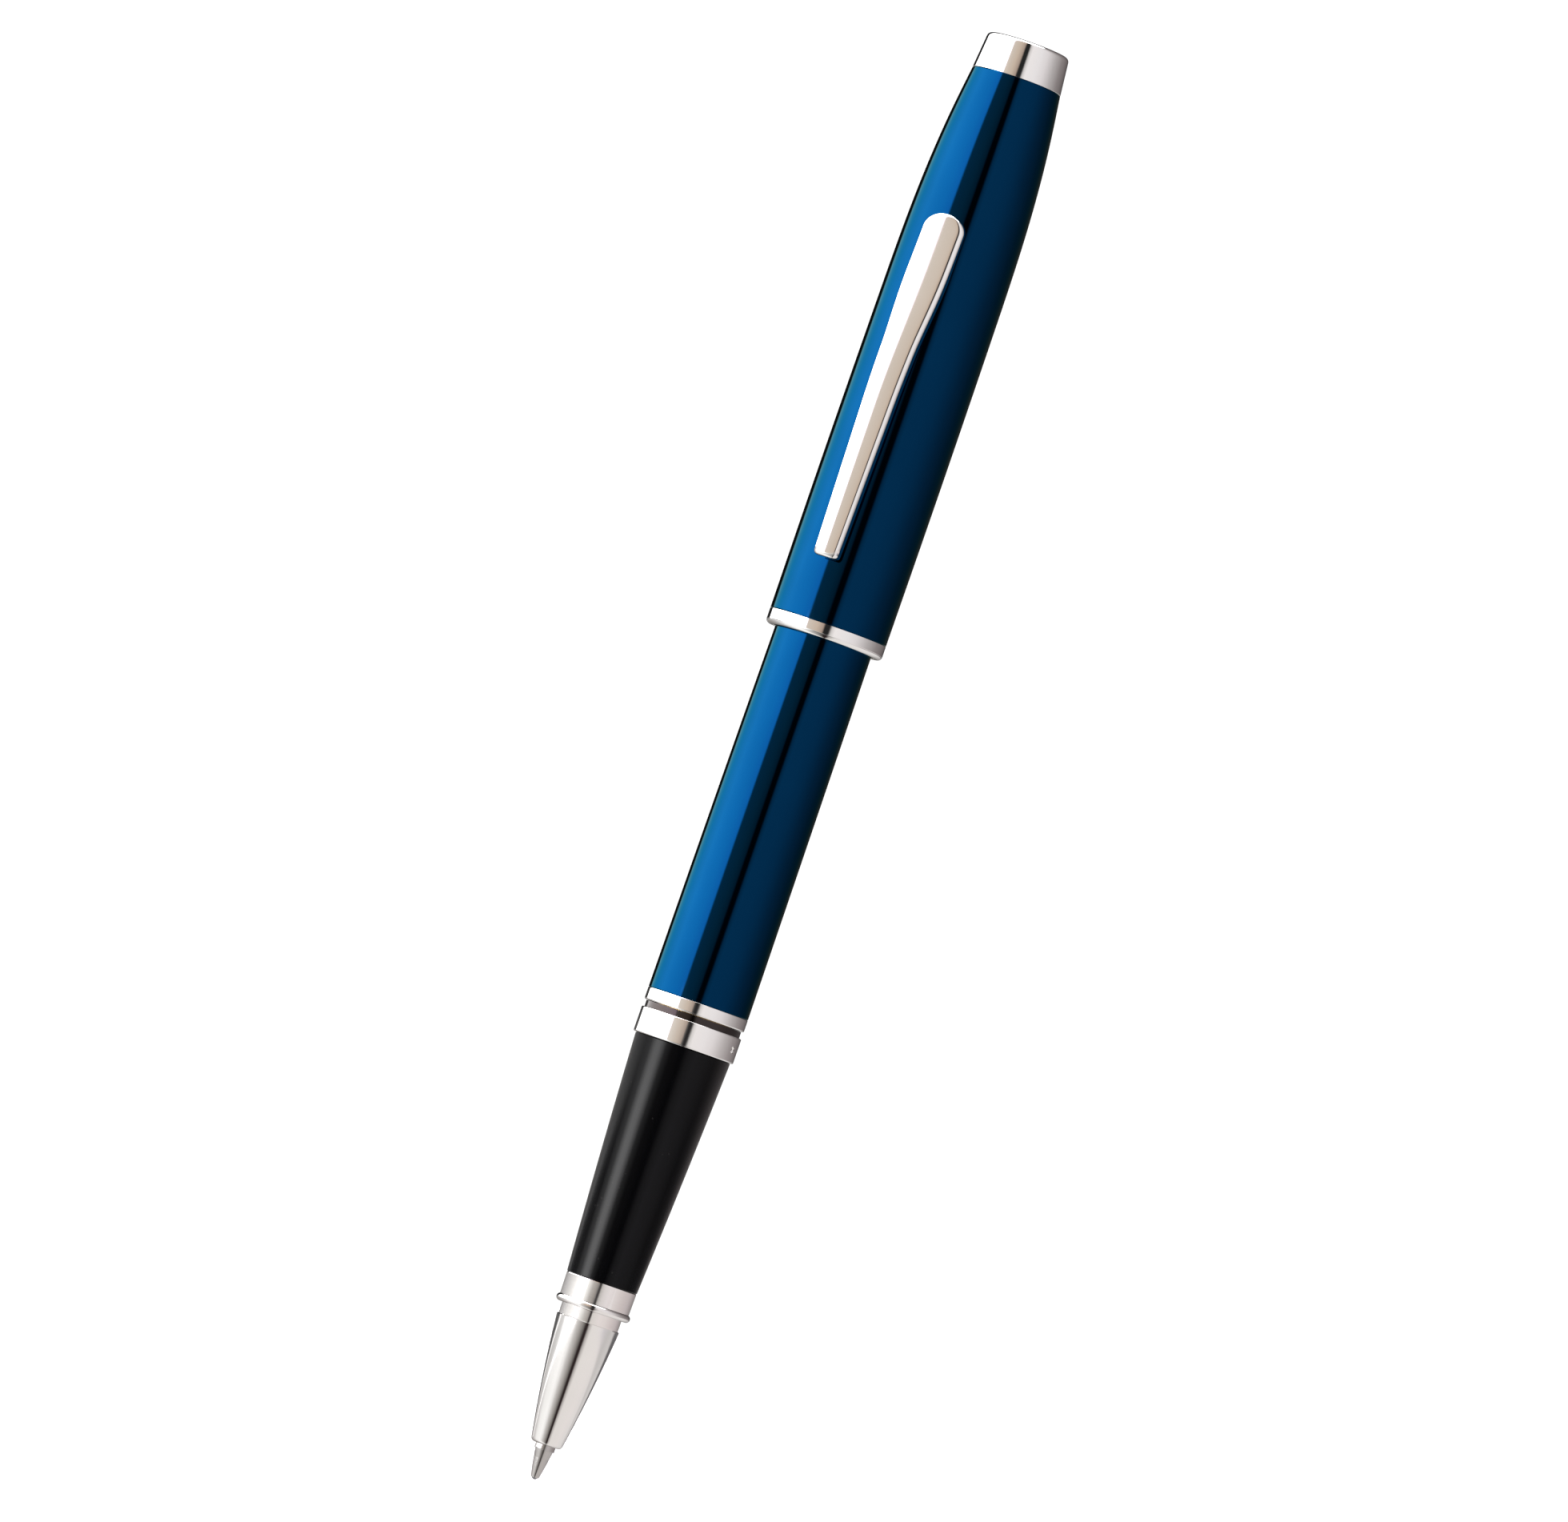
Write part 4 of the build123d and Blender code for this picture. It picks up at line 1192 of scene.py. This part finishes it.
@dataclass
class Clip:
    """Sprung clip: a crowned bar, narrow and straight at its free end, wide at its head."""

    shop: Workshop
    cap: Cap
    depth: float = 1.30
    edge_round: float = 0.42
    crown: float = 0.15
    head_width: float = 4.45
    tail_width: float = 2.62
    stand_off: float = 2.20
    head_drop: float = 1.85
    drop: Point = (0.45, 1.05)
    even_taper: float = 0.95
    swell: Point = (0.60, 0.84)
    corner: float = 0.45
    head_round: float = 1.80
    gap: float = 0.12
    tang_reach: float = 1.50
    pad_radius: float = 1.00
    pad_above_end: float = 2.00
    pad_gap: float = 0.06
    tang_bury: float = 0.2
    tang_corner: float = 0.08
    stations: int = 56
    end_steps: int = 9
    corner_steps: int = 7
    crown_cuts: int = 11
    pad_facets: tuple[int, int] = (40, 20)

    HAIR = 1e-8  # metres, within which two places are the same

    def build(self) -> None:
        """Build the bar, hollow its back to the cap, and add its tang and pad."""
        bar = self._bar()
        low, high = self.shop.span("cap_tube")
        side = self.cap.side_points(self.gap)
        cutter = Outline(0.0, low).to(*side[0]).smooth(side[1:]).to(0.0, high)
        Bench.combine(bar, Bench.turn("cap_clearance", cutter), "DIFFERENCE")
        Bench.combine(bar, self._tang(), "UNION")
        Bench.combine(bar, self._pad(), "UNION")
        self.shop.fit(bar, "clip")

    @staticmethod
    def _ease(share: float, bounds: Point) -> float:
        """Smooth step from 0 to 1 between two bounds."""
        start, end = bounds
        part = min(max((share - start) / (end - start), 0.0), 1.0)
        return part * part * (3 - 2 * part)

    def _half_width(self, share: float) -> float:
        """Half of the clip's width at a share of its length from the free end."""
        even = self.even_taper * share
        swell = even + (1 - even) * self._ease(share, self.swell)
        return (self.tail_width + (self.head_width - self.tail_width) * swell) / 2

    def _front(self, share: float) -> float:
        """How far the clip's front stands from the axis at a share of its length."""
        radius = self.shop.radius("cap_band")
        return radius + self.stand_off - self.head_drop * self._ease(share, self.drop)

    def _fall(self, inset: float) -> float:
        """How far the rounded front edge falls back, this far inside the outline."""
        short = max(self.edge_round - inset, 0.0)
        return self.edge_round - math.sqrt(self.edge_round**2 - short**2)

    def _stations(self) -> list[tuple[float, float, float, float]]:
        """Height, half width, front and back of the bar at each of its cross-sections."""
        low, high = self.shop.span("clip")
        length = high - low
        rows = []
        for step in range(self.end_steps):
            turn = math.pi / 2 * step / self.end_steps
            inset = self.corner * (1 - math.cos(turn))
            half = self._half_width(0.0) - self.corner * (1 - math.sin(turn))
            rows.append((low + inset, half, self._fall(inset)))
        side_low, side_high = low + self.corner, high - self.head_round
        for step in range(self.stations + 1):
            height = side_low + (side_high - side_low) * step / self.stations
            rows.append((height, self._half_width((height - low) / length), 0.0))
        head_half = rows[-1][1]
        for step in range(1, 2 * self.end_steps):
            turn = math.pi / 2 * step / (2 * self.end_steps)
            height = side_high + self.head_round * math.sin(turn)
            rows.append((height, head_half * math.cos(turn), self._fall(high - height)))
        return [
            (height, half, self._front((height - low) / length) - fall,
             self._front((height - low) / length) - self.depth)
            for height, half, fall in rows
        ]

    def _bar(self) -> bpy.types.Object:
        """Crowned bar with rounded front edges, extruded from one cross-section to the next."""
        rows = self._stations()
        height, half, front, back = rows[0]
        Bench.begin()
        bpy.ops.mesh.primitive_plane_add(size=1.0)
        Bench.edit()
        bpy.ops.transform.resize(value=(2 * half * MM, (front - back) * MM, 1.0))
        bpy.ops.transform.translate(value=(0.0, -(front + back) / 2 * MM, height * MM))
        self._shape_section(half, front)
        for row, after in zip(rows, rows[1:]):
            height, half, front, back = after
            shift = row[3] - back
            Bench.extrude(
                Vector((0.0, shift, height - row[0])),
                (half / row[1], (front - back) / (row[2] - row[3])),
                Vector((0.0, -back, height)),
            )
        return Bench.close("clip_bar")

    def _shape_section(self, half: float, front: float) -> None:
        """Round the front corners of the flat starting face and crown its front edge.

        Args:
            half: half of the face's width.
            front: how far its front edge is from the axis.
        """
        mesh = bpy.context.object.data
        bpy.ops.mesh.select_mode(type="VERT")
        share = self.edge_round / (self.tail_width / 2)

        def at_front(place: Vector) -> bool:
            """Tell whether a place is on the front edge."""
            return abs(-place.y - front * MM) < self.HAIR

        Bench.choose(mesh, at_front)
        bpy.ops.mesh.bevel(
            offset=half * share * MM, segments=self.corner_steps, affect="VERTICES", profile=0.5
        )
        Bench.choose(mesh, at_front)
        bpy.ops.mesh.subdivide(number_cuts=self.crown_cuts)
        bpy.ops.object.mode_set(mode="OBJECT")
        edge = (front - 2 * self.edge_round) * MM
        reach = {round(abs(vertex.co.x), 9) for vertex in mesh.vertices if -vertex.co.y > edge}
        bpy.ops.object.mode_set(mode="EDIT")
        for sideways in sorted(reach):
            Bench.choose(
                mesh,
                lambda place: -place.y > edge and abs(abs(place.x) - sideways) < self.HAIR,
            )
            drop = self.crown * (sideways / MM / half) ** 2 * (1 - share)
            bpy.ops.transform.translate(value=(0.0, drop * MM, 0.0))
        bpy.ops.mesh.select_all(action="SELECT")

    def _tang(self) -> bpy.types.Object:
        """Block that goes through the cap's slot."""
        high = self.shop.span("clip")[1] - self.cap.tang_below_clip_top
        radius = self.shop.radius("cap_band")
        wall_inside = self.cap.tube_bore - self.tang_reach
        half = self.cap.tang_width / 2
        return Bench.block(
            "clip_tang",
            Vector((-half, -(radius + self.gap + self.tang_bury), high - self.cap.tang_height)),
            Vector((half, -wall_inside, high)),
            self.tang_corner,
        )

    def _pad(self) -> bpy.types.Object:
        """Round pad under the free end, which presses on the cloth."""
        radius = self.shop.radius("cap_band")
        low = self.shop.span("clip")[0]
        out = radius + self.pad_gap + self.pad_radius
        facets, rings = self.pad_facets
        Bench.begin()
        bpy.ops.mesh.primitive_uv_sphere_add(
            segments=facets, ring_count=rings, radius=self.pad_radius * MM
        )
        Bench.edit()
        bpy.ops.transform.translate(value=(0.0, -out * MM, (low + self.pad_above_end) * MM))
        return Bench.close("clip_pad")


# --------------------------------------------------------------------------------------
# Studio
# --------------------------------------------------------------------------------------
@dataclass(frozen=True)
class Panels:
    """A row of tall soft panels that stand round the pen.

    Attributes:
        light: colour by direction round the pen, in degrees from the camera's side, rising to
            the camera's right.
        share: how much of the light the row gives, by the direction's upward part.
    """

    light: tuple[tuple[float, Colour], ...]
    share: tuple[Point, ...] = ()


MAIN_PANELS = Panels(
    light=(
        (-180.0, (0.02, 0.02, 0.02)),
        (-146.0, (0.02, 0.02, 0.02)),
        (-141.0, (4.2, 4.2, 4.2)),
        (-95.0, (6.2, 6.2, 6.2)),
        (-60.0, (5.2, 5.0, 5.4)),
        (-43.0, (4.6, 4.0, 4.9)),
        (-40.0, (0.72, 0.64, 0.56)),
        (-20.0, (0.64, 0.52, 0.42)),
        (-9.0, (0.44, 0.34, 0.28)),
        (-5.5, (0.02, 0.02, 0.02)),
        (4.0, (0.02, 0.02, 0.02)),
        (8.0, (0.68, 0.65, 0.64)),
        (15.0, (0.95, 0.91, 0.91)),
        (40.0, (0.90, 0.87, 0.88)),
        (60.0, (0.80, 0.76, 0.77)),
        (89.0, (0.48, 0.45, 0.45)),
        (116.0, (0.28, 0.25, 0.25)),
        (150.0, (0.15, 0.13, 0.13)),
        (180.0, (0.03, 0.03, 0.03)),
    ),
)
GRIP_CENTRE = (
    (-80.0, (1.9, 1.9, 1.9)),
    (-64.0, (9.0, 9.0, 9.0)),
    (-54.0, (9.0, 9.0, 9.0)),
    (-38.0, (1.3, 1.3, 1.3)),
    (-23.0, (0.20, 0.20, 0.20)),
    (6.0, (0.10, 0.10, 0.10)),
    (18.0, (0.62, 0.60, 0.62)),
    (35.0, (0.90, 0.87, 0.92)),
    (60.0, (0.70, 0.67, 0.70)),
)
GRIP_PANELS = Panels(
    light=(
        (-180.0, (0.12, 0.12, 0.12)),
        (-98.0, (0.12, 0.12, 0.12)),
        *GRIP_CENTRE,
        (89.0, (0.18, 0.17, 0.18)),
        (180.0, (0.12, 0.12, 0.12)),
    ),
    share=((-1.0, 0.0), (-0.110, 0.0), (-0.095, 1.0), (-0.050, 1.0), (-0.044, 0.0), (1.0, 0.0)),
)
GRIP_FRONT_PANELS = Panels(
    light=(
        (-180.0, (0.40, 0.38, 0.37)),
        (-150.0, (0.56, 0.54, 0.53)),
        (-112.0, (0.70, 0.69, 0.68)),
        (-98.0, (0.80, 0.80, 0.79)),
        *GRIP_CENTRE,
        (89.0, (0.62, 0.60, 0.59)),
        (130.0, (0.72, 0.70, 0.69)),
        (160.0, (0.50, 0.48, 0.47)),
        (180.0, (0.40, 0.38, 0.37)),
    ),
    share=((-1.0, 0.0), (-0.180, 0.0), (-0.165, 1.0), (-0.110, 1.0), (-0.095, 0.0), (1.0, 0.0)),
)
TRIM_PANELS = Panels(
    light=(
        (-180.0, (0.20, 0.19, 0.18)),
        (-158.0, (0.38, 0.37, 0.36)),
        (-130.0, (0.60, 0.59, 0.59)),
        (-106.0, (0.80, 0.79, 0.77)),
        (-81.0, (1.02, 1.01, 0.98)),
        (-60.0, (1.15, 1.15, 1.14)),
        (-38.0, (1.08, 1.08, 1.04)),
        (-23.0, (0.68, 0.66, 0.63)),
        (-11.0, (0.49, 0.46, 0.43)),
        (-5.0, (0.34, 0.32, 0.30)),
        (-2.5, (0.05, 0.04, 0.04)),
        (2.0, (0.05, 0.04, 0.04)),
        (6.0, (0.78, 0.75, 0.71)),
        (35.0, (0.88, 0.82, 0.80)),
        (60.0, (0.84, 0.78, 0.76)),
        (89.0, (0.72, 0.65, 0.64)),
        (116.0, (0.60, 0.54, 0.54)),
        (143.0, (0.38, 0.34, 0.34)),
        (180.0, (0.20, 0.19, 0.18)),
    ),
    share=((-1.0, 0.0), (-0.050, 0.0), (-0.044, 1.0), (0.004, 1.0), (0.010, 0.0), (1.0, 0.0)),
)
NOSE_PANELS = Panels(
    light=(
        (-180.0, (0.20, 0.19, 0.18)),
        (-158.0, (0.34, 0.32, 0.30)),
        (-135.0, (0.48, 0.46, 0.45)),
        (-112.0, (0.74, 0.72, 0.71)),
        (-90.0, (1.06, 1.06, 1.04)),
        (-58.0, (1.16, 1.16, 1.14)),
        (-45.0, (0.98, 0.97, 0.95)),
        (-34.0, (0.66, 0.64, 0.62)),
        (-18.0, (0.36, 0.34, 0.32)),
        (-9.0, (0.16, 0.15, 0.14)),
        (-4.0, (0.03, 0.02, 0.02)),
        (3.0, (0.03, 0.02, 0.02)),
        (9.0, (0.52, 0.49, 0.47)),
        (20.0, (0.88, 0.85, 0.82)),
        (75.0, (0.90, 0.86, 0.84)),
        (130.0, (0.80, 0.78, 0.77)),
        (160.0, (0.50, 0.48, 0.47)),
        (180.0, (0.20, 0.19, 0.18)),
    ),
    share=((-1.0, 1.0), (-0.180, 1.0), (-0.165, 0.0), (1.0, 0.0)),
)


@dataclass
class Studio:
    """Floor, surrounding light and camera.

    Attributes:
        floor_drop: how far the floor is below the writing tip, in metres.
        floor_radius: radius of the round floor.
        camera_distance: from the pen's axis to the camera.
        camera_height: height of the camera above the writing tip.
        aim_height: height of the point at the view's middle.
        aim_right: how far that point is to the right of the pen's axis.
        lean: how far the pen's top leans to the right in the view, in degrees.
        frame_width: width of the view at the pen.
        sensor: width of the camera's sensor, in millimetres.
        clip: nearest and farthest distance that the camera sees.
        panels: the rows of panels; each one takes its share from those before it.
        backdrop: brightness of the plain backdrop.
        floor_colours: darkest and palest colour of the floor, each the same in all channels.
        floor_roughness: roughness of the floor.
        floor_mottle: scale and detail of the floor's noise.
        lamp_size: width of the lamp.
        lamp_power: its power, in watts.
        lamp_height: its height above the writing tip.
    """

    floor_drop: float = 0.05
    floor_radius: float = 6.0
    camera_distance: float = 1.326
    camera_height: float = 0.032
    aim_height: float = 0.0768
    aim_right: float = 0.0002
    lean: float = 19.05
    frame_width: float = 0.1586
    sensor: float = 36.0
    clip: Point = (0.01, 30.0)
    panels: tuple[Panels, ...] = (
        MAIN_PANELS, GRIP_PANELS, GRIP_FRONT_PANELS, TRIM_PANELS, NOSE_PANELS,
    )
    backdrop: float = 1.1
    floor_colours: Point = (0.90, 0.94)
    floor_roughness: float = 0.9
    floor_mottle: Point = (3.0, 3.0)
    lamp_size: float = 0.8
    lamp_power: float = 5.0
    lamp_height: float = 1.1

    FLOOR_FACETS = 96

    def build(self) -> None:
        """Set up the world, the floor, the lamp and the camera."""
        scene = bpy.context.scene
        scene.view_settings.view_transform = "Standard"
        self._world(scene)
        self._floor()
        self._lamp()
        self._camera(scene)

    @staticmethod
    def _axes() -> tuple[Vector, Vector]:
        """Level unit vectors from the pen to the camera, and to the camera's right."""
        turn = math.radians(VIEW_AZIMUTH)
        towards = Vector((math.sin(turn), -math.cos(turn), 0.0))
        right = Vector((math.cos(turn), math.sin(turn), 0.0))
        return towards, right

    def _world(self, scene: bpy.types.Scene) -> None:
        """Tall soft panels all round, in front of a plain white backdrop."""
        world = bpy.data.worlds.new("studio")
        scene.world = world
        world.use_nodes = True
        world.node_tree.nodes.clear()
        tree = NodeTree(world.node_tree)
        place = tree.add("ShaderNodeTexCoord").outputs["Generated"]
        towards, right = self._axes()
        parts = []
        for axis in (right, towards, Vector((0.0, 0.0, 1.0))):
            dot = tree.add("ShaderNodeVectorMath", operation="DOT_PRODUCT")
            tree.join(place, dot.inputs[0])
            dot.inputs[1].default_value = axis
            parts.append(dot.outputs["Value"])
        angle = tree.math("ARCTAN2", parts[0], parts[1])
        share = tree.math("MULTIPLY_ADD", angle, 0.5 / math.pi, 0.5)
        height = tree.math("MULTIPLY_ADD", parts[2], 0.5, 0.5)
        strongest = max(max(colour) for row in self.panels for _, colour in row.light)
        first, *others = self.panels
        light = self._row(tree, first, share, strongest)
        for row in others:
            levels = [((rise + 1.0) / 2.0, (part, part, part)) for rise, part in row.share]
            ring = self._row(tree, row, share, strongest)
            light = tree.blend(tree.ramp(height, levels), light, ring)
        panels = tree.add("ShaderNodeBackground")
        tree.join(light, panels.inputs["Color"])
        panels.inputs["Strength"].default_value = strongest
        plain = tree.add("ShaderNodeBackground")
        plain.inputs["Color"].default_value = (1.0, 1.0, 1.0, 1.0)
        plain.inputs["Strength"].default_value = self.backdrop
        path = tree.add("ShaderNodeLightPath")
        mix = tree.add("ShaderNodeMixShader")
        out = tree.add("ShaderNodeOutputWorld")
        tree.join(path.outputs["Is Camera Ray"], mix.inputs["Fac"])
        tree.join(panels.outputs["Background"], mix.inputs[1])
        tree.join(plain.outputs["Background"], mix.inputs[2])
        tree.join(mix.outputs["Shader"], out.inputs["Surface"])

    @staticmethod
    def _row(
        tree: NodeTree, row: Panels, share: bpy.types.NodeSocket, strongest: float
    ) -> bpy.types.NodeSocket:
        """Colour of one row of panels, by the direction round the pen.

        Args:
            tree: the world's nodes.
            row: the row of panels.
            share: the direction round the pen, 0 to 1.
            strongest: the brightest light of all rows, which becomes 1.

        Returns:
            The row's colour.
        """
        stops = [
            ((degrees + 180.0) / 360.0, tuple(part / strongest for part in colour))
            for degrees, colour in row.light
        ]
        return tree.ramp(share, stops)

    def _floor(self) -> None:
        """A plain pale floor below the pen."""
        Bench.begin()
        bpy.ops.mesh.primitive_circle_add(
            vertices=self.FLOOR_FACETS, radius=self.floor_radius, fill_type="NGON",
            location=(0.0, 0.0, -self.floor_drop),
        )
        floor = bpy.context.object
        floor.name = "floor"
        material = bpy.data.materials.new("pale_floor")
        material.use_nodes = True
        tree = NodeTree(material.node_tree)
        shader = material.node_tree.nodes["Principled BSDF"]
        cloud = tree.noise(tree.stretched(), *self.floor_mottle)
        low, high = self.floor_colours
        pale = tree.ramp(cloud, [(0.3, (low, low, low)), (0.7, (high, high, high))])
        tree.join(pale, shader.inputs["Base Color"])
        shader.inputs["Roughness"].default_value = self.floor_roughness
        floor.data.materials.append(material)
        floor.visible_glossy = False

    def _lamp(self) -> None:
        """A soft overhead lamp for the ends and edges of the pieces."""
        data = bpy.data.lights.new("overhead", "AREA")
        data.shape = "DISK"
        data.size = self.lamp_size
        data.energy = self.lamp_power
        lamp = bpy.data.objects.new("overhead", data)
        lamp.location = (0.0, 0.0, self.lamp_height)
        lamp.visible_camera = False
        bpy.context.scene.collection.objects.link(lamp)

    def _camera(self, scene: bpy.types.Scene) -> None:
        """Place the camera, rolled so that the pen leans in the view."""
        towards, right = self._axes()
        data = bpy.data.cameras.new("camera")
        data.sensor_width = self.sensor
        aim = Vector((0.0, 0.0, self.aim_height)) + right * self.aim_right
        place = towards * self.camera_distance
        place.z = self.camera_height
        data.lens = self.sensor * (place - aim).length / self.frame_width
        data.clip_start, data.clip_end = self.clip
        back = (place - aim).normalized()
        side = Vector((0.0, 0.0, 1.0)).cross(back).normalized()
        up = back.cross(side)
        turn = math.radians(self.lean)
        view_up = up * math.cos(turn) - side * math.sin(turn)
        view_right = up * math.sin(turn) + side * math.cos(turn)
        camera = bpy.data.objects.new("camera", data)
        camera.matrix_world = Matrix.Translation(place) @ Matrix(
            (view_right, view_up, back)
        ).transposed().to_4x4()
        scene.collection.objects.link(camera)
        scene.camera = camera


def main() -> None:
    """Dress the frame, build each sub-assembly in order, and set up the studio."""
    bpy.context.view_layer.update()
    shop = Workshop(frame)
    cap = Cap(shop)
    for assembly in (WritingTip(shop), Section(shop), Barrel(shop), cap, Clip(shop, cap)):
        assembly.build()
        log.info("%s built", type(assembly).__name__)
    Studio().build()


if __name__ == "__main__":
    logging.basicConfig(level=logging.INFO, format="%(message)s")
    main()
